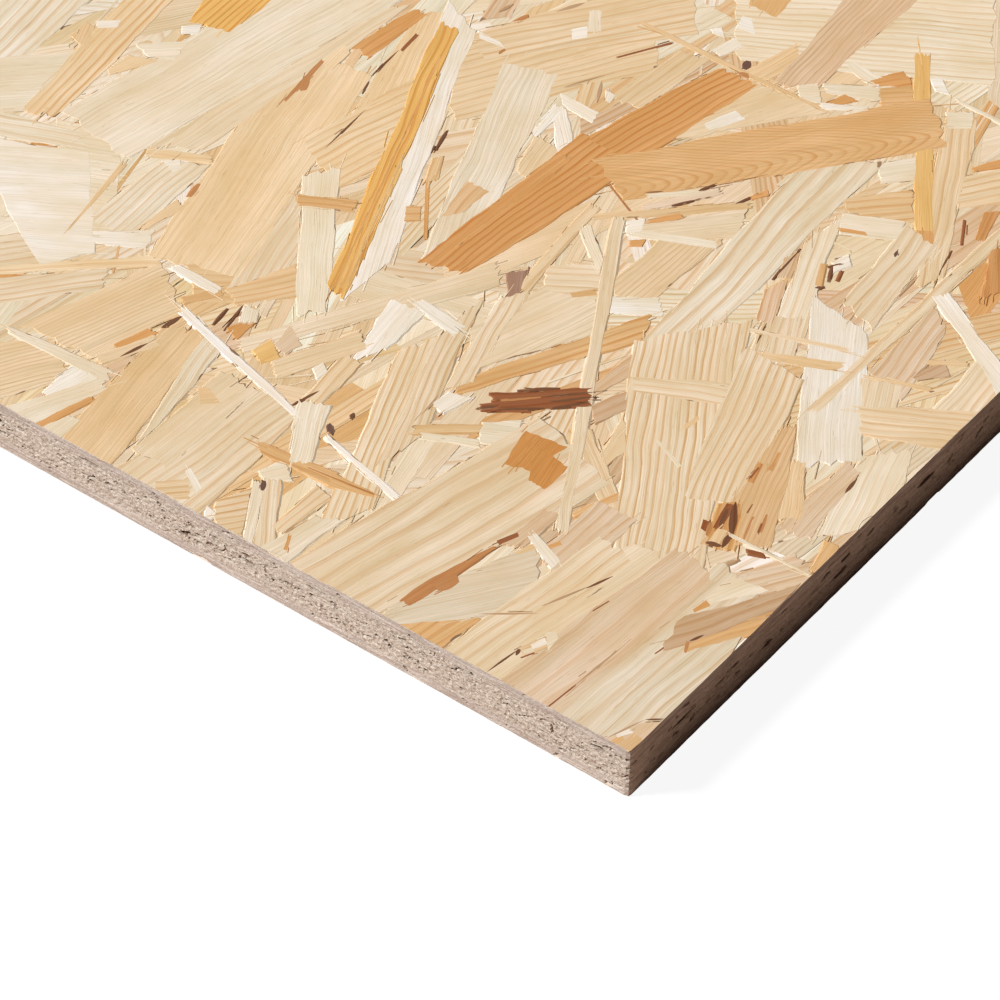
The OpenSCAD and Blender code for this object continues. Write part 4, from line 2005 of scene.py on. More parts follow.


# Painted shade: the slot, crack, hole, seam and dark line strands are thin dark strips laid where gaps
# between strands lie in shadow.
NEAR_STRANDS: dict[str, Strand] = {
    "pale_by_sheet": Strand((55, 118, 66, 240, 125, 135, 112, 238), Tone.PALE, Grain.FINE),
    "tan_under_sliver": Strand((160, 318, 172, 330, 226, 284, 236, 300), Tone.HONEY, Grain.LINES),
    "straw_by_sliver": Strand((185, 262, 196, 302, 242, 262, 248, 302), Tone.HONEY, Grain.LINES),
    "cream_under_tan": Strand((225, 292, 264, 318, 292, 190, 318, 215), Tone.CREAM, Grain.LINES),
    "far_left_stripes": Strand((-70, 70, 10, 70, 40, -60, 125, -30), Tone.PALE, Grain.LINES),
    "left_flat": Strand((-30, 62, -30, 112, 80, 50, 70, 110), Tone.PALE),
    "left_lines": Strand((-30, 240, -30, 275, 30, 232, 45, 265), Tone.CREAM, Grain.LINES),
    "left_mid_bar": Strand((-20, 280, -20, 305, 110, 268, 105, 288), Tone.CREAM, Grain.LINES),
    "left_striped_low": Strand((-30, 345, -30, 405, 55, 340, 70, 375), Tone.STRAW, Grain.DENSE),
    "left_striped": Strand((20, 325, 95, 360, 165, 262, 185, 310), Tone.STRAW, Grain.DENSE),
    "left_honey_bar": Strand((-10, 267, -10, 273, 165, 255, 160, 266), Tone.PEACH, Grain.LINES),
    "left_ruled": Strand((85, 222, 130, 236, 165, 158, 212, 165), Tone.PALE, Grain.LINES),
    "left_short_bar": Strand((145, 148, 146, 156, 212, 155, 213, 163), Tone.PEACH, Grain.LINES),
    "white_triangle_left": Strand((162, 160, 172, 172, 180, 159, 181, 168), Tone.WHITE),
    "tan_broad": Strand((147, 258, 238, 278, 292, 46, 375, 72), Tone.PEACH, Grain.FINE),
    "speckled": Strand((322, 160, 385, 165, 420, 10, 452, 12), Tone.PEACH, Grain.FINE),
    "flat_lines": Strand((300, 140, 335, 190, 420, 75, 422, 150), Tone.PEACH, Grain.LINES),
    "pale_lower": Strand((145, 148, 200, 150, 385, 8, 412, 5), Tone.CREAM, Grain.FINE),
    "broad_pale": Strand((62, 112, 124, 160, 285, -18, 440, -22), Tone.PALE, Grain.FINE),
    "brown_striped_left": Strand((20, 112, 56, 118, 132, -10, 184, -10), Tone.PEACH, Grain.STRIPED),
    "left_pale_bar": Strand((-30, 106, -30, 130, 78, 131, 90, 151), Tone.PALE, Grain.LINES),
    "white_sheet_left": Strand((-45, 132, 40, 264, 90, 152, 96, 253), Tone.WHITE),
    "white_bar_left": Strand((92, 232, 92, 243, 155, 231, 148, 248), Tone.WHITE),
    "honey_sliver_left": Strand((64, 234, 68, 232, 123, 160, 127, 164), Tone.HONEY),
    "honey_wedge": Strand((140, 226, 142, 231, 178, 200, 186, 208), Tone.HONEY),
    "rust_crevice_left": Strand((186, 196, 192, 198, 198, 183, 202, 184), Tone.RUST),
    "gold_patch": Strand((190, 22, 228, 33, 225, -25, 285, -10), Tone.GOLD, Grain.STRIPED),
    "white_fleck_1": Strand((96, 22, 97, 28, 121, 20, 118, 27), Tone.WHITE),
    "white_fleck_2": Strand((182, 26, 182, 34, 202, 25, 198, 35), Tone.WHITE),
    "pale_fleck": Strand((135, 45, 150, 58, 190, 42, 175, 60), Tone.PALE),
    "honey_patch": Strand((108, 70, 110, 75, 130, 55, 158, 60), Tone.PEACH),
    "tan_patch": Strand((72, 36, 86, 50, 86, 22, 94, 26), Tone.HONEY),
    "torn_white": Strand((322, 62, 330, 70, 345, 44, 350, 52), Tone.PEACH),
    "torn_crevice": Strand((283, 100, 285, 103, 322, 58, 326, 62), Tone.RUST),
    "torn_crevice_wide": Strand((299, 92, 308, 90, 303, 76, 312, 74), Tone.RUST),
    "orange_point": Strand((352, 48, 368, 58, 415, 8, 428, 13), Tone.ORANGE, Grain.LINES),
    "dark_slot_1": Strand((369, 77.4, 370, 78.6, 399, 49, 400, 50.4), Tone.CRACK_SHADE),
    "dark_slot_2": Strand((361.4, 93, 362.8, 93.6, 368.4, 81, 369.8, 81.6), Tone.CRACK_SHADE),
    "dark_slot_3": Strand((400, 50, 402, 52, 416, 33, 419, 35), Tone.BARK),
    "torn_line": Strand((322.6, 149.4, 323.8, 150.6, 366, 108, 367.2, 109.2), Tone.CRACK_SHADE),
    "ruled_straw": Strand((445, 45, 450, 122, 660, -20, 660, 70), Tone.STRAW, Grain.LINES),
    "upper_straw": Strand((470, 35, 480, 60, 700, -30, 700, 35), Tone.STRAW, Grain.LINES),
    "pale_ruled_mid": Strand((605, 100, 640, 108, 680, 50, 712, 60), Tone.STRAW, Grain.LINES),
    "ripple_far_right": Strand((730, -10, 735, 60, 1000, 0, 995, 85), Tone.PALE, Grain.LINES),
    "honey_block": Strand((745, 70, 750, 88, 800, 42, 800, 62), Tone.HONEY, Grain.FINE),
    "pale_wedge": Strand((660, 140, 690, 138, 760, 82, 830, 110), Tone.STRAW),
    "straw_seam_1": Strand((615, 57, 616, 58.8, 673, 41.6, 674, 43.4), Tone.BARK),
    "straw_seam_2": Strand((563, 86.4, 564, 88, 606, 74, 607, 75.6), Tone.SEAM_SHADE),
    "pale_by_gold": Strand((340, 305, 390, 262, 448, 0, 475, 30), Tone.WHITE, Grain.FINE),
    "big_pale": Strand((420, 260, 495, 205, 505, 62, 560, 72), Tone.PALE, Grain.FINE),
    "mauve_patch": Strand((438, 218, 462, 212, 470, 180, 490, 192), Tone.WHEAT, Grain.LINES),
    "honey_step": Strand((404, 222, 406, 206, 420, 222, 421, 206), Tone.TAN, Grain.LINES),
    "honey_small": Strand((424, 182, 438, 180, 434, 158, 445, 156), Tone.HONEY, Grain.LINES),
    "crack_mid": Strand((435, 149, 437, 150, 446, 130, 448.4, 131), Tone.CRACK_SHADE),
    "white_bit_1": Strand((478, 31, 480, 38, 500, 42, 505, 48), Tone.WHITE),
    "white_bit_2": Strand((572, 30, 572, 40, 588, 27, 588, 38), Tone.WHITE),
    "pale_upright": Strand((588, 10, 602, 10, 588, 32, 602, 32), Tone.PALE, Grain.FINE),
    "rust_bit": Strand((498, 52, 499, 55, 504, 48, 506, 50), Tone.RUST),
    "dark_hole_1": Strand((514, 21, 516, 22, 528, 14, 529, 18), Tone.RUST),
    "dark_hole_2": Strand((554, 11, 556, 13, 585, 1, 587, 4), Tone.SEAM_SHADE),
    "dark_hole_3": Strand((498, 11, 500, 12, 512, 3, 514, 5), Tone.SEAM_SHADE),
    "straw_under_white": Strand((518, 172, 524, 178, 535, 135, 562, 150), Tone.STRAW, Grain.FINE),
    "tan_ruled_patch": Strand((572, 106, 590, 106, 580, 84, 602, 80), Tone.STRAW, Grain.STRIPED),
    "splinter_1": Strand((560, 92, 562, 105, 600, 112, 592, 124), Tone.WHITE),
    "splinter_2": Strand((552, 104, 565, 108, 558, 157, 574, 141), Tone.WHITE),
    "splinter_3": Strand((532, 134, 536, 139, 555, 103, 561, 112), Tone.WHITE),
    "bark_sliver": Strand((595, 103, 598, 104, 600, 79, 603.6, 80), Tone.SEAM_SHADE),
    "white_bit_3": Strand((606, 100, 610, 103, 606, 90, 616, 95), Tone.WHITE),
    "white_bit_4": Strand((711, 28, 713, 34, 722, 27, 724, 38), Tone.WHITE),
    "white_bit_5": Strand((742, 16, 736, 28, 752, 18, 755, 36), Tone.WHITE),
    "white_bit_6": Strand((712, 50, 720, 56, 735, 38, 743, 46), Tone.WHITE),
    "brown_end": Strand((750, 5, 775, 18, 760, -20, 795, -5), Tone.TAN),
    "mauve_long": Strand((772, 86, 815, 90, 858, -15, 925, -8), Tone.MAUVE, Grain.DENSE),
    "tan_bit_1": Strand((868, 80, 880, 87, 905, 70, 914, 86), Tone.ORANGE, Grain.LINES),
    "tan_bit_2": Strand((870, 90, 882, 105, 914, 87, 914, 104), Tone.TAN, Grain.LINES),
    "pale_bar_1": Strand((822, 83, 826, 92, 880, 89, 882, 100), Tone.PALE),
    "pale_bar_2": Strand((845, 66, 852, 61, 868, 82, 882, 78), Tone.PALE),
    "pale_bar_3": Strand((798, 86, 800, 100, 818, 84, 822, 104), Tone.PALE),
    "orange_bit_1": Strand((825, 104, 828, 106, 845, 94, 858, 101), Tone.ORANGE),
    "white_line": Strand((820, 103, 821, 108, 868, 107, 870, 111), Tone.WHITE),
    "right_ruled": Strand((955, 180, 958, 208, 1020, 165, 1020, 200), Tone.STRAW, Grain.LINES),
    "right_orange": Strand((972, 168, 974, 172, 1005, 158, 1005, 167), Tone.ORANGE),
    "right_brown": Strand((975, 240, 985, 242, 985, 212, 1000, 210), Tone.COPPER, Grain.LINES),
    "straw_right": Strand((842, 200, 850, 222, 915, 190, 915, 222), Tone.HONEY, Grain.STRIPED),
    "pale_right": Strand((840, 212, 840, 235, 905, 222, 905, 240), Tone.PALE),
    "orange_line_right": Strand((838, 228, 840, 232, 866, 232, 868, 236), Tone.ORANGE),
    "white_block": Strand((878, 165, 880, 182, 916, 156, 916, 180), Tone.PALE),
    "upright_right": Strand((948, 105, 978, 118, 915, 290, 942, 280), Tone.STRAW, Grain.LINES),
    "white_bit_7": Strand((946, 112, 948, 128, 974, 112, 972, 130), Tone.PALE),
    "white_bit_8": Strand((930, 79, 936, 92, 942, 78, 950, 95), Tone.WHITE),
    "pale_sliver_right": Strand((955, 98, 957, 102, 1005, 122, 1005, 127), Tone.PALE),
    "yellow_strip": Strand((915, 52, 930, 54, 916, 243, 934, 245), Tone.YELLOW, Grain.FINE),
    "yellow_end": Strand((916, 230, 933, 231, 916, 244, 934, 246), Tone.ORANGE),
    "striped_mid": Strand((600, 290, 648, 305, 680, 225, 725, 240), Tone.STRAW, Grain.DENSE),
    "pale_mid": Strand((640, 225, 640, 236, 750, 205, 740, 238), Tone.CREAM),
    "white_level": Strand((628, 228, 628, 235, 718, 242, 716, 249), Tone.PALE),
    "white_patch_mid": Strand((607, 297, 605, 312, 660, 298, 664, 315), Tone.WHITE),
    "strand_right_1": Strand((768, 350, 800, 345, 805, 240, 842, 215), Tone.PALE, Grain.LINES),
    "strand_right_2": Strand((843, 305, 870, 330, 905, 225, 940, 245), Tone.CREAM, Grain.LINES),
    "big_striped_pale": Strand((640, 345, 685, 360, 800, 165, 885, 160), Tone.PALE, Grain.BROAD),
    "heart_high": Strand((560, 150, 625, 172, 722, 66, 758, 84), Tone.ORANGE, Grain.STRIPED),
    "heart_low": Strand((418, 262, 462, 277, 585, 132, 640, 165), Tone.ORANGE, Grain.STRIPED),
    "heart_rim": Strand((424, 262, 438, 264, 560, 152, 572, 158), Tone.ORANGE, Grain.LINES),
    "arched_tan": Strand((590, 160, 620, 200, 935, 98, 948, 147), Tone.TAN, Grain.ARCHED),
    "white_by_heart": Strand((704, 124, 708, 131, 735, 110, 745, 118), Tone.WHITE),
    "thin_yellow": Strand((640, 20, 642, 26, 822, 108, 825, 113), Tone.HONEY),
    "dark_block": Strand((742, 68, 748, 70, 745, 60, 752, 62), Tone.CHAR),
    "red_brown_bit": Strand((738, 72, 740, 76, 748, 73, 750, 79), Tone.RUST),
    "torn_cream": Strand((590, 214, 590, 220, 752, 203, 754, 209), Tone.HONEY, Grain.FINE),
    "torn_pale_1": Strand((640, 206, 642, 211, 720, 188, 724, 193), Tone.PINK),
    "torn_pale_2": Strand((645, 194, 646, 198, 700, 190, 702, 194), Tone.PALE),
    "torn_slot_1": Strand((644, 192, 644.6, 193.4, 664, 191, 664.6, 192.4), Tone.CRACK_SHADE),
    "torn_slot_2": Strand((698, 190, 698.8, 191.2, 718, 182.4, 718.8, 183.6), Tone.CRACK_SHADE),
    "torn_slot_3": Strand((672, 204.6, 672.8, 206, 692, 200, 692.8, 201.4), Tone.CRACK_SHADE),
    "torn_slot_4": Strand((734, 204, 735, 205.4, 766, 190, 767, 191.4), Tone.CRACK_SHADE),
    "torn_orange": Strand((648, 220, 650, 223, 680, 213, 686, 219), Tone.ORANGE),
    "torn_orange_2": Strand((750, 197, 752, 200, 768, 190, 770, 196), Tone.ORANGE),
    "pale_by_mauve": Strand((748, 364, 792, 364, 764, 316, 802, 316), Tone.CREAM, Grain.LINES),
    "mauve_wedge_1": Strand((755, 320, 772, 325, 765, 290, 790, 280), Tone.MAUVE, Grain.STRIPED),
    "mauve_wedge_2": Strand((778, 277, 790, 278, 785, 258, 800, 252), Tone.MAUVE, Grain.STRIPED),
    "crack_right_1": Strand((755, 345, 756.6, 345.6, 766, 322, 767.8, 322.8), Tone.CRACK_SHADE),
    "crack_right_2": Strand((772, 279, 774, 280, 800, 248, 801.8, 249.2), Tone.CRACK_SHADE),
    "hole_white": Strand((832, 262, 834, 272, 848, 254, 852, 266), Tone.WHITE),
    "hole_bar": Strand((815, 286, 822, 288, 820, 263, 826, 264), Tone.TAN, Grain.LINES),
    "small_dark_1": Strand((814, 287, 815, 289, 823, 286, 824, 288), Tone.CRACK_SHADE),
    "small_dark_2": Strand((828, 281, 829.6, 281.4, 832, 265, 833.6, 265.4), Tone.CRACK_SHADE),
    "small_dark_3": Strand((829, 266, 829.6, 267.4, 842, 262.6, 842.6, 264), Tone.CRACK_SHADE),
    "small_dark_4": Strand((837, 280, 838.4, 280.6, 841, 271, 842.4, 271.6), Tone.BARK),
    "small_dark_5": Strand((893, 256, 895.6, 258, 896, 250, 899, 252), Tone.CHAR),
    "pale_patch_right": Strand((812, 295, 868, 330, 796, 468, 862, 462), Tone.WHITE),
    "low_right_cream": Strand((868, 372, 900, 400, 935, 305, 950, 330), Tone.PINK, Grain.LINES),
    "low_right_lines": Strand((925, 420, 960, 445, 985, 350, 1010, 390), Tone.CREAM, Grain.LINES),
    "low_right_fine": Strand((862, 378, 905, 385, 864, 428, 892, 425), Tone.CREAM, Grain.FINE),
    "level_honey": Strand((855, 405, 855, 432, 985, 408, 955, 450), Tone.STRAW, Grain.LINES),
    "tan_wedge": Strand((912, 378, 918, 382, 945, 360, 950, 376), Tone.DUN, Grain.LINES),
    "orange_dash_right": Strand((925, 360, 927, 364, 968, 362, 970, 366), Tone.HONEY),
    "dark_dash_right": Strand((914, 376, 915.2, 377.2, 929, 363, 930.2, 364.2), Tone.SEAM_SHADE),
    "straw_sliver_right": Strand((860, 374, 864, 378, 932, 388, 934, 392), Tone.HONEY),
    "sliver_level_1": Strand((722, 322, 722, 326, 852, 349, 850, 353), Tone.STRAW),
    "sliver_level_2": Strand((748, 350, 748, 356, 848, 364, 840, 373), Tone.HONEY),
    "long_diagonal": Strand((805, 411, 814, 415, 1010, 218, 1010, 236), Tone.CREAM, Grain.LINES),
    "crack_far_1": Strand((961, 245, 962.6, 245.4, 964, 220, 965.6, 220.4), Tone.BARK),
    "crack_far_2": Strand((939, 272, 940.4, 272.8, 951, 250, 952.6, 250.8), Tone.CRACK_SHADE),
    "crack_far_3": Strand((890, 303, 891.2, 304, 920, 274, 921.4, 275.2), Tone.SEAM_SHADE),
    "orange_far": Strand((982, 300, 1000, 292, 990, 250, 1010, 245), Tone.COPPER, Grain.LINES),
    "white_sliver_far": Strand((932, 295, 948, 293, 990, 395, 1005, 380), Tone.WHITE),
    "low_right_pale": Strand((815, 538, 872, 525, 865, 455, 915, 450), Tone.PALE, Grain.FINE),
    "low_right_streaked": Strand((772, 530, 810, 540, 850, 460, 862, 470), Tone.PINK, Grain.FINE),
    "low_right_honey": Strand((775, 520, 800, 520, 795, 460, 806, 462), Tone.HONEY, Grain.FINE),
    "crevice_right": Strand((843, 493, 846, 495, 857, 477, 859, 480), Tone.CRACK_SHADE),
    "cream_mid": Strand((465, 330, 470, 372, 600, 255, 600, 330), Tone.CREAM, Grain.FINE),
    "ruled_block": Strand((545, 265, 545, 290, 602, 262, 602, 300), Tone.CREAM, Grain.LINES),
    "tan_dash": Strand((570, 293, 572, 298, 596, 288, 598, 296), Tone.TAN),
    "orange_strip": Strand((450, 385, 455, 394, 655, 313, 645, 340), Tone.TAN, Grain.STRIPED),
    "cream_long": Strand((235, 340, 240, 352, 500, 262, 505, 285), Tone.CREAM, Grain.FINE),
    "pale_diagonal": Strand((514, 290, 523, 297, 591, 203, 600, 208), Tone.STRAW, Grain.LINES),
    "umber_bit": Strand((508, 297, 520, 295, 508, 273, 525, 270), Tone.UMBER),
    "umber_dash": Strand((480, 338, 481, 343, 497, 337, 497, 343), Tone.UMBER),
    "white_bit_9": Strand((579, 229, 590, 224, 597, 272, 607, 268), Tone.PALE),
    "white_bit_10": Strand((627, 222, 627, 234, 645, 218, 642, 232), Tone.WHITE),
    "orange_bit_2": Strand((630, 241, 630, 246, 646, 240, 642, 246), Tone.ORANGE),
    "mauve_mid_1": Strand((588, 388, 592, 396, 634, 352, 634, 372), Tone.MAUVE, Grain.LINES),
    "mauve_mid_2": Strand((590, 408, 596, 424, 632, 390, 632, 408), Tone.DUN, Grain.LINES),
    "straw_mid": Strand((598, 455, 602, 468, 626, 412, 626, 450), Tone.STRAW, Grain.FINE),
    "honey_slant": Strand((578, 440, 590, 428, 606, 525, 624, 505), Tone.STRAW, Grain.LINES),
    "brown_streak": Strand((572, 512, 574, 520, 618, 492, 620, 500), Tone.TAN, Grain.LINES),
    "yellow_small": Strand((578, 520, 580, 524, 604, 505, 606, 512), Tone.YELLOW),
    "dark_arc": Strand((590, 512, 593, 515, 600, 508, 602, 514), Tone.CRACK_SHADE),
    "quarter_sawn": Strand((633, 340, 752, 318, 615, 560, 700, 575), Tone.CREAM, Grain.STRIPED),
    "level_band": Strand((630, 376, 630, 392, 732, 385, 725, 404), Tone.CREAM, Grain.LINES),
    "orange_mark": Strand((682, 428, 686, 430, 698, 415, 700, 419), Tone.HONEY),
    "pale_scratch": Strand((655, 441, 659, 440, 678, 468, 682, 466), Tone.PALE),
    "diagonal_striped": Strand((682, 498, 736, 508, 745, 345, 805, 380), Tone.CREAM, Grain.STRIPED),
    "knot_strand": Strand((700, 545, 772, 548, 785, 425, 797, 425), Tone.WHEAT, Grain.DENSE),
    "knot_halo": Strand((703, 545, 736, 552, 720, 503, 742, 500), Tone.TAN, Grain.STRIPED),
    "knot_shade": Strand((713, 532, 734, 539, 725, 503, 739, 503), Tone.COPPER, Grain.STRIPED),
    "knot_1": Strand((713, 529, 720, 531, 727, 503, 735, 505), Tone.BARK, Grain.STRIPED),
    "knot_1_dark": Strand((716, 527, 721, 528, 726, 507, 732, 509), Tone.CRACK_SHADE, Grain.FINE),
    "knot_ring": Strand((727, 540, 734, 541, 731, 500, 741, 502), Tone.CRACK_SHADE, Grain.STRIPED),
    "knot_heart": Strand((707, 543, 719, 547, 718, 528, 728, 531), Tone.HONEY, Grain.FINE),
    "knot_2": Strand((701, 529, 705, 532, 703, 519, 710, 522), Tone.BARK, Grain.STRIPED),
    "knot_2_pale": Strand((705, 535, 709, 538, 709, 522, 714, 524), Tone.RUST, Grain.FINE),
    "knot_3": Strand((704, 540, 706, 545, 722, 544, 723, 549), Tone.CRACK_SHADE, Grain.FINE),
    "knot_4": Strand((719, 547, 724, 550, 728, 532, 734, 534), Tone.CRACK_SHADE, Grain.STRIPED),
    "knot_5": Strand((747, 550, 749, 554, 764, 553, 765, 557), Tone.BARK, Grain.STRIPED),
    "knot_6": Strand((746, 513, 748, 514, 752, 504, 753, 505), Tone.BARK),
    "knot_8": Strand((742, 540, 745, 541, 752, 516, 754, 517), Tone.RUST, Grain.STRIPED),
    "knot_9": Strand((758, 532, 762, 534, 766, 514, 769, 515), Tone.RUST, Grain.STRIPED),
    "knot_10": Strand((757, 533, 759, 534, 761, 523, 763, 524), Tone.BARK),
    "knot_7": Strand((747, 482, 753, 484, 759, 462, 763, 464), Tone.COPPER, Grain.STRIPED),
    "knot_7_dark": Strand((749, 478, 751, 479, 758, 467, 760, 468), Tone.BARK),
    "knot_11": Strand((768, 470, 772, 472, 778, 452, 781, 453), Tone.COPPER, Grain.STRIPED),
    "under_knot": Strand((690, 585, 700, 600, 800, 555, 812, 580), Tone.PINK, Grain.LINES),
    "dark_under_knot": Strand((720, 566, 722, 567, 738, 559, 740, 561), Tone.SEAM_SHADE),
    "knot_sliver": Strand((727, 532, 729, 536, 808, 574, 813, 578), Tone.PALE),
    "orange_right_low": Strand((808, 570, 815, 572, 825, 540, 838, 545), Tone.TAN),
    "steep_b": Strand((318, 530, 372, 512, 400, 350, 440, 335), Tone.CREAM, Grain.STRIPED),
    "steep_a": Strand((375, 470, 420, 440, 440, 335, 485, 295), Tone.CREAM, Grain.STRIPED),
    "steep_c": Strand((445, 390, 470, 385, 500, 295, 530, 290), Tone.CREAM, Grain.LINES),
    "pale_big_left": Strand((350, 362, 385, 350, 395, 298, 425, 312), Tone.WHITE),
    "straw_left_mid": Strand((300, 400, 322, 405, 345, 352, 362, 362), Tone.STRAW, Grain.LINES),
    "tan_left_mid": Strand((268, 362, 275, 378, 362, 330, 368, 350), Tone.STRAW, Grain.FINE),
    "dark_line_left": Strand((292, 404, 293, 406, 320, 389, 321, 392), Tone.CRACK_SHADE),
    "pink_piece": Strand((272, 345, 285, 355, 290, 325, 302, 345), Tone.PINK),
    "yellow_patch": Strand((252, 350, 262, 364, 270, 338, 280, 358), Tone.YELLOW),
    "orange_left": Strand((226, 328, 236, 339, 240, 324, 252, 325), Tone.ORANGE),
    "pale_triangle_left": Strand((240, 322, 256, 322, 244, 306, 258, 310), Tone.PALE),
    "ruled_left": Strand((225, 290, 235, 305, 300, 265, 300, 297), Tone.HONEY, Grain.LINES),
    "dark_left_1": Strand((213, 324, 214.2, 325, 226.5, 308.5, 227.9, 309.5), Tone.CRACK_SHADE),
    "dark_left_2": Strand((223.4, 330.6, 224.4, 331.4, 242.6, 305.6, 243.8, 306.6), Tone.CRACK_SHADE),
    "white_upright": Strand((303, 175, 341, 165, 296, 318, 326, 312), Tone.PALE),
    "tan_bar": Strand((296, 195, 297, 205, 358, 201, 354, 212), Tone.TAN, Grain.LINES),
    "white_bit_11": Strand((312, 368, 318, 380, 322, 362, 328, 372), Tone.WHITE),
    "white_bar": Strand((413, 303, 423, 299, 455, 337, 466, 328), Tone.WHITE),
    "white_patch_low": Strand((430, 405, 445, 414, 450, 392, 472, 398), Tone.WHITE),
    "dark_line_mid": Strand((420, 416, 421, 417, 438, 394, 440, 396), Tone.SEAM_SHADE),
    "honey_bar": Strand((412, 425, 410, 436, 486, 424, 480, 434), Tone.HONEY, Grain.LINES),
    "pale_bar_low": Strand((420, 432, 420, 438, 480, 440, 480, 446), Tone.PALE),
    "pale_block": Strand((482, 422, 478, 440, 522, 420, 515, 450), Tone.PALE),
    "tan_left": Strand((62, 440, 112, 468, 165, 325, 215, 330), Tone.HONEY),
    "left_orange_low": Strand((113, 345, 118, 350, 148, 328, 158, 333), Tone.ORANGE),
    "left_pale_low": Strand((95, 355, 100, 364, 155, 335, 160, 345), Tone.STRAW),
    "left_dark_low_1": Strand((118, 357, 119, 359, 149, 341, 150, 344), Tone.CRACK_SHADE),
    "left_dark_low_2": Strand((162, 327, 164, 329, 180, 315, 182, 318), Tone.CRACK_SHADE),
    "tan_by_sliver": Strand((180, 298, 184, 304, 220, 288, 224, 296), Tone.TAN),
    "pale_left_low": Strand((115, 465, 205, 512, 270, 385, 300, 415), Tone.CREAM, Grain.LINES),
    "pale_left_low_2": Strand((130, 450, 165, 470, 225, 370, 260, 390), Tone.CREAM, Grain.FINE),
    "thin_strips": Strand((135, 445, 150, 435, 205, 335, 225, 345), Tone.PALE, Grain.LINES),
    "honey_spot": Strand((198, 390, 200, 403, 208, 388, 221, 403), Tone.HONEY),
    "white_left_low": Strand((42, 392, 50, 398, 75, 365, 100, 380), Tone.WHITE),
    "yellowish_left": Strand((5, 402, 35, 418, 105, 378, 110, 390), Tone.PALE),
    "rust_strip_left": Strand((35, 420, 45, 424, 92, 396, 96, 400), Tone.ORANGE),
    "pale_bottom_left": Strand((45, 424, 66, 436, 70, 415, 80, 420), Tone.PALE),
    "short_ruled": Strand((155, 482, 165, 492, 190, 480, 190, 500), Tone.STRAW, Grain.STRIPED),
    "white_bit_12": Strand((185, 470, 190, 468, 197, 494, 202, 488), Tone.WHITE),
    "white_bit_13": Strand((204, 510, 212, 518, 206, 505, 218, 515), Tone.WHITE),
    "striped_block": Strand((215, 500, 222, 532, 252, 487, 250, 537), Tone.STRAW, Grain.STRIPED),
    "pale_upright_low": Strand((253, 478, 265, 482, 252, 540, 260, 542), Tone.PALE),
    "cream_upright_low": Strand((265, 476, 280, 478, 262, 545, 275, 548), Tone.CREAM, Grain.LINES),
    "white_low": Strand((258, 470, 262, 478, 285, 458, 292, 480), Tone.PALE),
    "straw_low": Strand((270, 528, 282, 534, 318, 486, 332, 498), Tone.STRAW, Grain.LINES),
    "pale_low": Strand((262, 545, 285, 562, 315, 515, 345, 520), Tone.PALE, Grain.FINE),
    "orange_sliver_1": Strand((256, 440, 260, 453, 340, 476, 335, 488), Tone.TAN, Grain.LINES),
    "orange_sliver_2": Strand((330, 473, 328, 486, 376, 494, 374, 497), Tone.TAN),
    "sliver_shade": Strand((306, 466, 307, 468, 374, 494, 375, 496.4), Tone.RUST),
    "pale_over_orange": Strand((288, 462, 308, 465, 300, 400, 332, 405), Tone.PALE, Grain.FINE),
    "orange_tick": Strand((283, 550, 287.4, 551, 288, 536, 292, 535), Tone.ORANGE),
    "dark_speck_1": Strand((260, 490, 264, 492, 262, 480, 267, 482), Tone.CHAR),
    "dark_speck_2": Strand((325, 430, 334, 434, 328, 422, 335, 428), Tone.CHAR),
    "dark_speck_3": Strand((350, 418, 353, 419, 352, 413, 355, 414), Tone.CRACK_SHADE),
    "orange_triangle": Strand((380, 628, 440, 650, 425, 612, 480, 618), Tone.TAN, Grain.LINES),
    "pale_under_brown": Strand((385, 606, 390, 617, 540, 545, 548, 612), Tone.ASH, Grain.FINE),
    "big_pale_low": Strand((285, 562, 378, 612, 545, 415, 612, 482), Tone.CREAM, Grain.BROAD),
    "mauve_low": Strand((500, 545, 520, 548, 545, 508, 562, 515), Tone.MAUVE, Grain.LINES),
    "cream_low": Strand((535, 555, 560, 585, 600, 500, 640, 520), Tone.PINK, Grain.LINES),
    "brown_taper": Strand((394, 600, 412, 608, 494, 545, 498, 547), Tone.RUST, Grain.FINE),
    "brown_taper_wide": Strand((432, 582, 440, 594, 456, 572, 460, 584), Tone.RUST, Grain.FINE),
    "brown_tail": Strand((496, 541.5, 498, 545, 518, 533, 519.5, 536.5), Tone.BARK),
    "near_under": Strand((440, 655, 530, 705, 640, 540, 700, 580), Tone.CREAM, Grain.FINE),
    "near_a": Strand((440, 650, 480, 672, 600, 535, 640, 560), Tone.CREAM, Grain.LINES),
    "near_c": Strand((545, 708, 600, 735, 720, 560, 760, 590), Tone.ASH, Grain.SOFT),
    "near_b": Strand((495, 680, 560, 712, 680, 545, 720, 580), Tone.PINK, Grain.SOFT),
    "near_d": Strand((590, 732, 630, 752, 700, 625, 770, 640), Tone.ASH, Grain.LINES),
    "near_tip": Strand((600, 738, 630, 754, 645, 720, 668, 716), Tone.PINK),
    "tip_line": Strand((604, 734.2, 604.8, 735.8, 645, 719, 645.8, 720.6), Tone.SEAM_SHADE),
    "tip_slot": Strand((644, 719, 645, 721, 668, 711, 669, 712.4), Tone.CRACK_SHADE),
    "tip_crumb_1": Strand((611, 739, 613, 744, 621, 733, 625, 740), Tone.TAN),
    "tip_crumb_2": Strand((622, 742, 626, 749, 634, 733, 640, 740), Tone.WHEAT),
    "tip_crumb_3": Strand((616, 735, 617, 738, 630, 729, 634, 733), Tone.WHITE),
    "tip_crack": Strand((628, 750, 630, 751, 633, 741, 635, 742), Tone.RUST),
    "near_slot_1": Strand((541, 606, 542, 607.8, 590, 585, 591, 586.8), Tone.SEAM_SHADE),
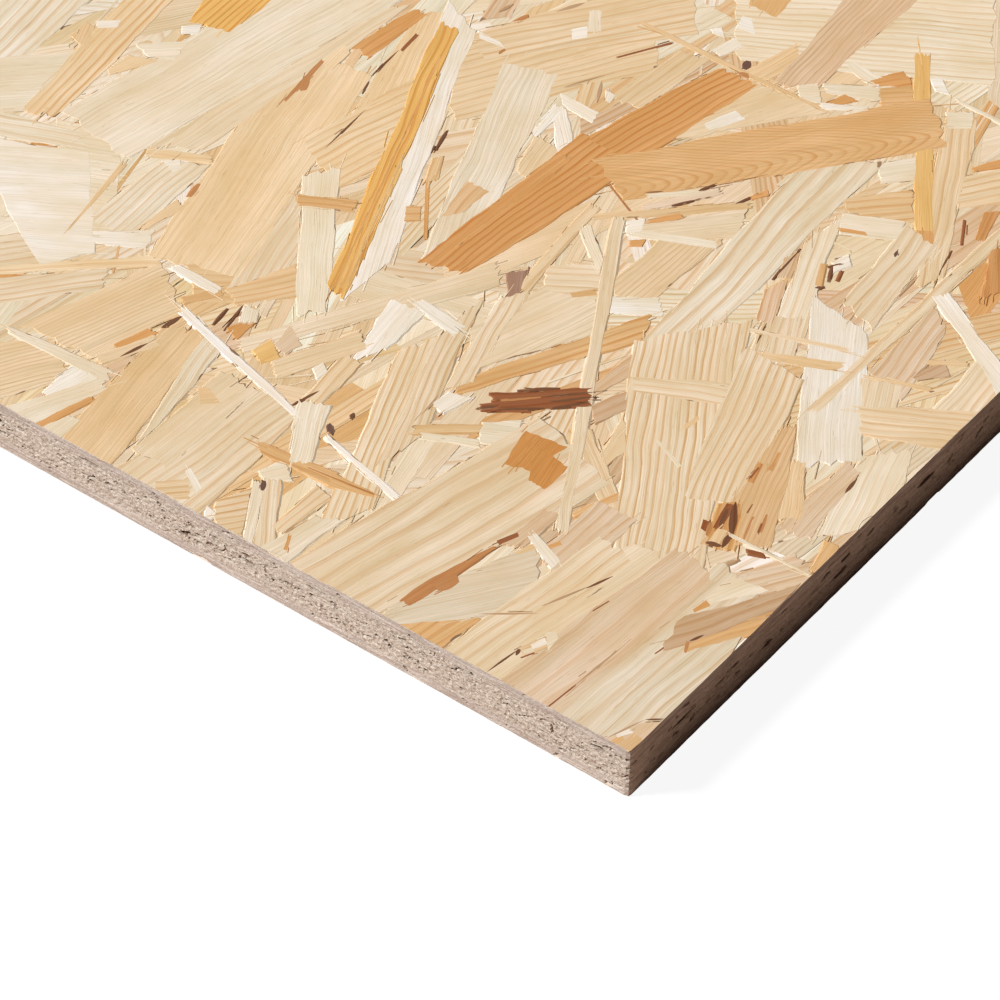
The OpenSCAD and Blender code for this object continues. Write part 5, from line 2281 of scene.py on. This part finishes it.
    "near_slot_2": Strand((585, 588, 586, 590, 613, 575.6, 614, 577), Tone.CRACK_SHADE),
    "near_slot_3": Strand((592, 611, 592.8, 612.2, 609, 600.6, 609.8, 601.8), Tone.BARK),
    "near_slot_4": Strand((550, 703, 551, 704.6, 576, 684, 577, 685.2), Tone.BARK),
    "near_slot_5": Strand((570, 688.6, 571.2, 690, 624, 644.6, 625, 646), Tone.SEAM_SHADE),
    "near_slot_7": Strand((654, 653.6, 654.8, 655, 677, 638.4, 678, 640), Tone.BARK),
    "wedge_line": Strand((478, 613.2, 478, 615, 541, 612.8, 541, 614.6), Tone.SEAM_SHADE),
    "near_orange_low": Strand((684, 641, 683, 653, 790, 596, 765, 622), Tone.TAN, Grain.LINES),
    "near_wedge": Strand((678, 619, 657, 653, 806, 574, 800, 592), Tone.DUN, Grain.STRIPED),
    "near_pale": Strand((705, 600, 712, 605, 735, 578, 770, 590), Tone.PALE),
    "near_orange": Strand((692, 610, 694, 613, 706, 600, 711, 606), Tone.ORANGE),
    "near_rust": Strand((684, 652, 686, 654, 686, 641, 690, 642), Tone.RUST),
    "near_dark": Strand((688, 641, 690, 643, 704, 634, 705, 636), Tone.CRACK_SHADE),
    "near_crack_1": Strand((483, 672, 484, 673.4, 519, 648, 520, 649.6), Tone.CRACK_SHADE),
    "near_crack_2": Strand((514, 655, 517, 657, 519, 647, 522, 649), Tone.CRACK_SHADE),
    "near_torn": Strand((518, 648, 524, 657, 546, 636, 552, 648), Tone.WHEAT, Grain.FINE),
    "torn_crumb_1": Strand((521, 651, 524, 655, 532, 647, 535, 652), Tone.PALE),
    "torn_crumb_2": Strand((530, 645, 533, 650, 545, 638, 548, 644), Tone.WHITE),
    "torn_crumb_3": Strand((547, 634, 549, 652, 557, 632, 559, 640), Tone.PALE),
    "torn_line_low": Strand((520, 657.6, 521, 658.8, 534, 652.4, 535, 653.6), Tone.BARK),
    "honey_bit_low": Strand((515, 553, 518, 555, 535, 543, 540, 548), Tone.HONEY),
    "orange_bit_low": Strand((545, 547, 546, 550, 560, 541, 562, 545), Tone.ORANGE),
    "white_sliver_low": Strand((527, 537, 536, 532, 552, 570, 560, 562), Tone.WHITE),
    "torn_patch_1": Strand((504, 465, 532, 472, 527, 431, 566, 446), Tone.CARAMEL, Grain.FINE),
    "torn_patch_2": Strand((526, 480, 543, 490, 535, 445, 568, 466), Tone.CARAMEL, Grain.FINE),
    "thin_upright": Strand((613, 216, 626, 217, 556, 532, 567, 536), Tone.CREAM, Grain.FINE),
    "bark_tip": Strand((480, 405, 482, 411, 530, 402, 530, 412), Tone.BARK, Grain.STRIPED),
    "bark_strip": Strand((488, 394, 498, 412, 593, 388, 592, 406), Tone.BARK, Grain.STRIPED),
    "bark_streak_3": Strand((540, 396.4, 540, 398.6, 596, 391, 596, 393.4), Tone.CRACK_SHADE, Grain.FINE),
    "bark_streak_4": Strand((548, 401.4, 548, 404, 595, 396, 595, 398.6), Tone.CRACK_SHADE, Grain.FINE),
    "bark_streak_5": Strand((552, 406.4, 552, 408.6, 592, 401.6, 592, 404.4), Tone.CRACK_SHADE, Grain.FINE),
    "bark_streak_1": Strand((518, 389.6, 518, 392, 560, 387.4, 560, 389.6), Tone.CRACK_SHADE),
    "bark_streak_2": Strand((494, 409, 494, 411.4, 544, 407, 544, 409.2), Tone.CRACK_SHADE),
    "bark_dark_tip": Strand((478, 407, 478.6, 410.6, 498, 405, 498, 408), Tone.CRACK_SHADE),
    "bark_light": Strand((500, 400.4, 500, 402.6, 542, 396.4, 542, 398.4), Tone.RUST, Grain.FINE),
    "white_sliver_left": Strand((4, 325, 8, 333, 115, 372, 108, 382), Tone.PALE),
    "white_sliver_1": Strand((170, 268, 178, 265, 215, 295, 223, 288), Tone.WHITE),
    "white_sliver_2": Strand((178, 312, 184, 306, 295, 418.5, 299.5, 413.5), Tone.WHITE),
    "white_sliver_3": Strand((323.6, 437.5, 326.4, 434.5, 396, 501.5, 400.4, 496.5), Tone.WHITE),
    "gold_sliver": Strand((326, 288, 345, 300, 441, 20, 458, 30), Tone.GOLD, Grain.STRIPED),
    "gold_band": Strand((338, 289, 345, 292, 396, 165, 402, 168), Tone.YELLOW, Grain.LINES),
    # Painted shade: the two groove strands darken the gold sliver's grooves.
    "gold_groove_1": Strand((332, 291, 333.6, 292, 440, 55, 441.4, 56), Tone.ORANGE),
    "gold_groove_2": Strand((347, 286, 348.4, 287, 404, 152, 405.2, 153), Tone.TAN),
}


def main() -> None:
    """Builds the sheet piece by piece, then the studio around it.

    Returns:
        None.
    """
    logging.basicConfig(level=logging.INFO, format="%(name)s %(message)s")
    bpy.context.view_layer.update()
    rng = np.random.default_rng(SEED)
    fibres = FibreGroup().build()
    strand_wood = StrandFinish(fibres).build()
    edge_wood = EdgeFinish(fibres).build()
    core_wood = CoreFinish().build()
    camera = CornerCamera()
    camera.place()
    Core().build(core_wood)
    flat = StrandMesher(skirted=False)
    close = StrandMesher(tuple(np.linspace(0.0, 1.0, 19)), tuple(np.linspace(0.0, 1.0, 11)), tilt=0.0)
    thin = StrandMesher(drop=0.05, bevel=0.06, tilt=0.0)
    broad = Scatter(
        cell=(44.0, 21.0), length=(80.0, 130.0), width=(20.0, 42.0), levels=(0.0, 0.10), fray=4.0
    )
    narrow = Scatter(
        cell=(37.0, 22.0), length=(55.0, 125.0), width=(4.0, 24.0), levels=(0.10, 0.20), fray=3.0
    )
    fines = Scatter(
        cell=(34.0, 27.0),
        length=(10.0, 38.0),
        width=(0.8, 3.0),
        levels=(0.20, 0.22),
        fray=1.0,
        spread=35.0,
        crossed=0.3,
        pinch=0.5,
    )
    top = broad.strew(rng).joined(narrow.strew(rng)).joined(fines.strew(rng))
    StrandFace("top_strands", False).build(top, flat, strand_wood, rng)
    corner = NearCorner(camera, tuple(NEAR_STRANDS.values())).build(rng)
    StrandFace("near_strands", False, 1, 1).build(corner, close, strand_wood, rng)
    splinters = Splinters().strew(corner, rng)
    StrandFace("near_splinters", False, 1, 1).build(splinters, thin, strand_wood, rng)
    under = broad.strew(rng).joined(narrow.strew(rng))
    StrandFace("under_strands", True).build(under, flat, strand_wood, rng)
    front = {"near": -1, "gaps": FRONT_GAPS, "camera": camera, "rows": 61}
    left = {"near": 1, "gaps": LEFT_GAPS, "camera": camera, "rows": 61}
    SawnEdge("front_edge", 0, LENGTH, WIDTH / 2, key=1, loose=0.45, **front).build(edge_wood, rng)
    SawnEdge("right_edge", 90, WIDTH, LENGTH / 2, key=2, loose=1.0).build(edge_wood, rng)
    SawnEdge("back_edge", 180, LENGTH, WIDTH / 2, key=3, loose=0.45).build(edge_wood, rng)
    SawnEdge("left_edge", 270, WIDTH, LENGTH / 2, key=4, loose=1.0, **left).build(edge_wood, rng)
    Studio().build()


if __name__ == "__main__":
    main()
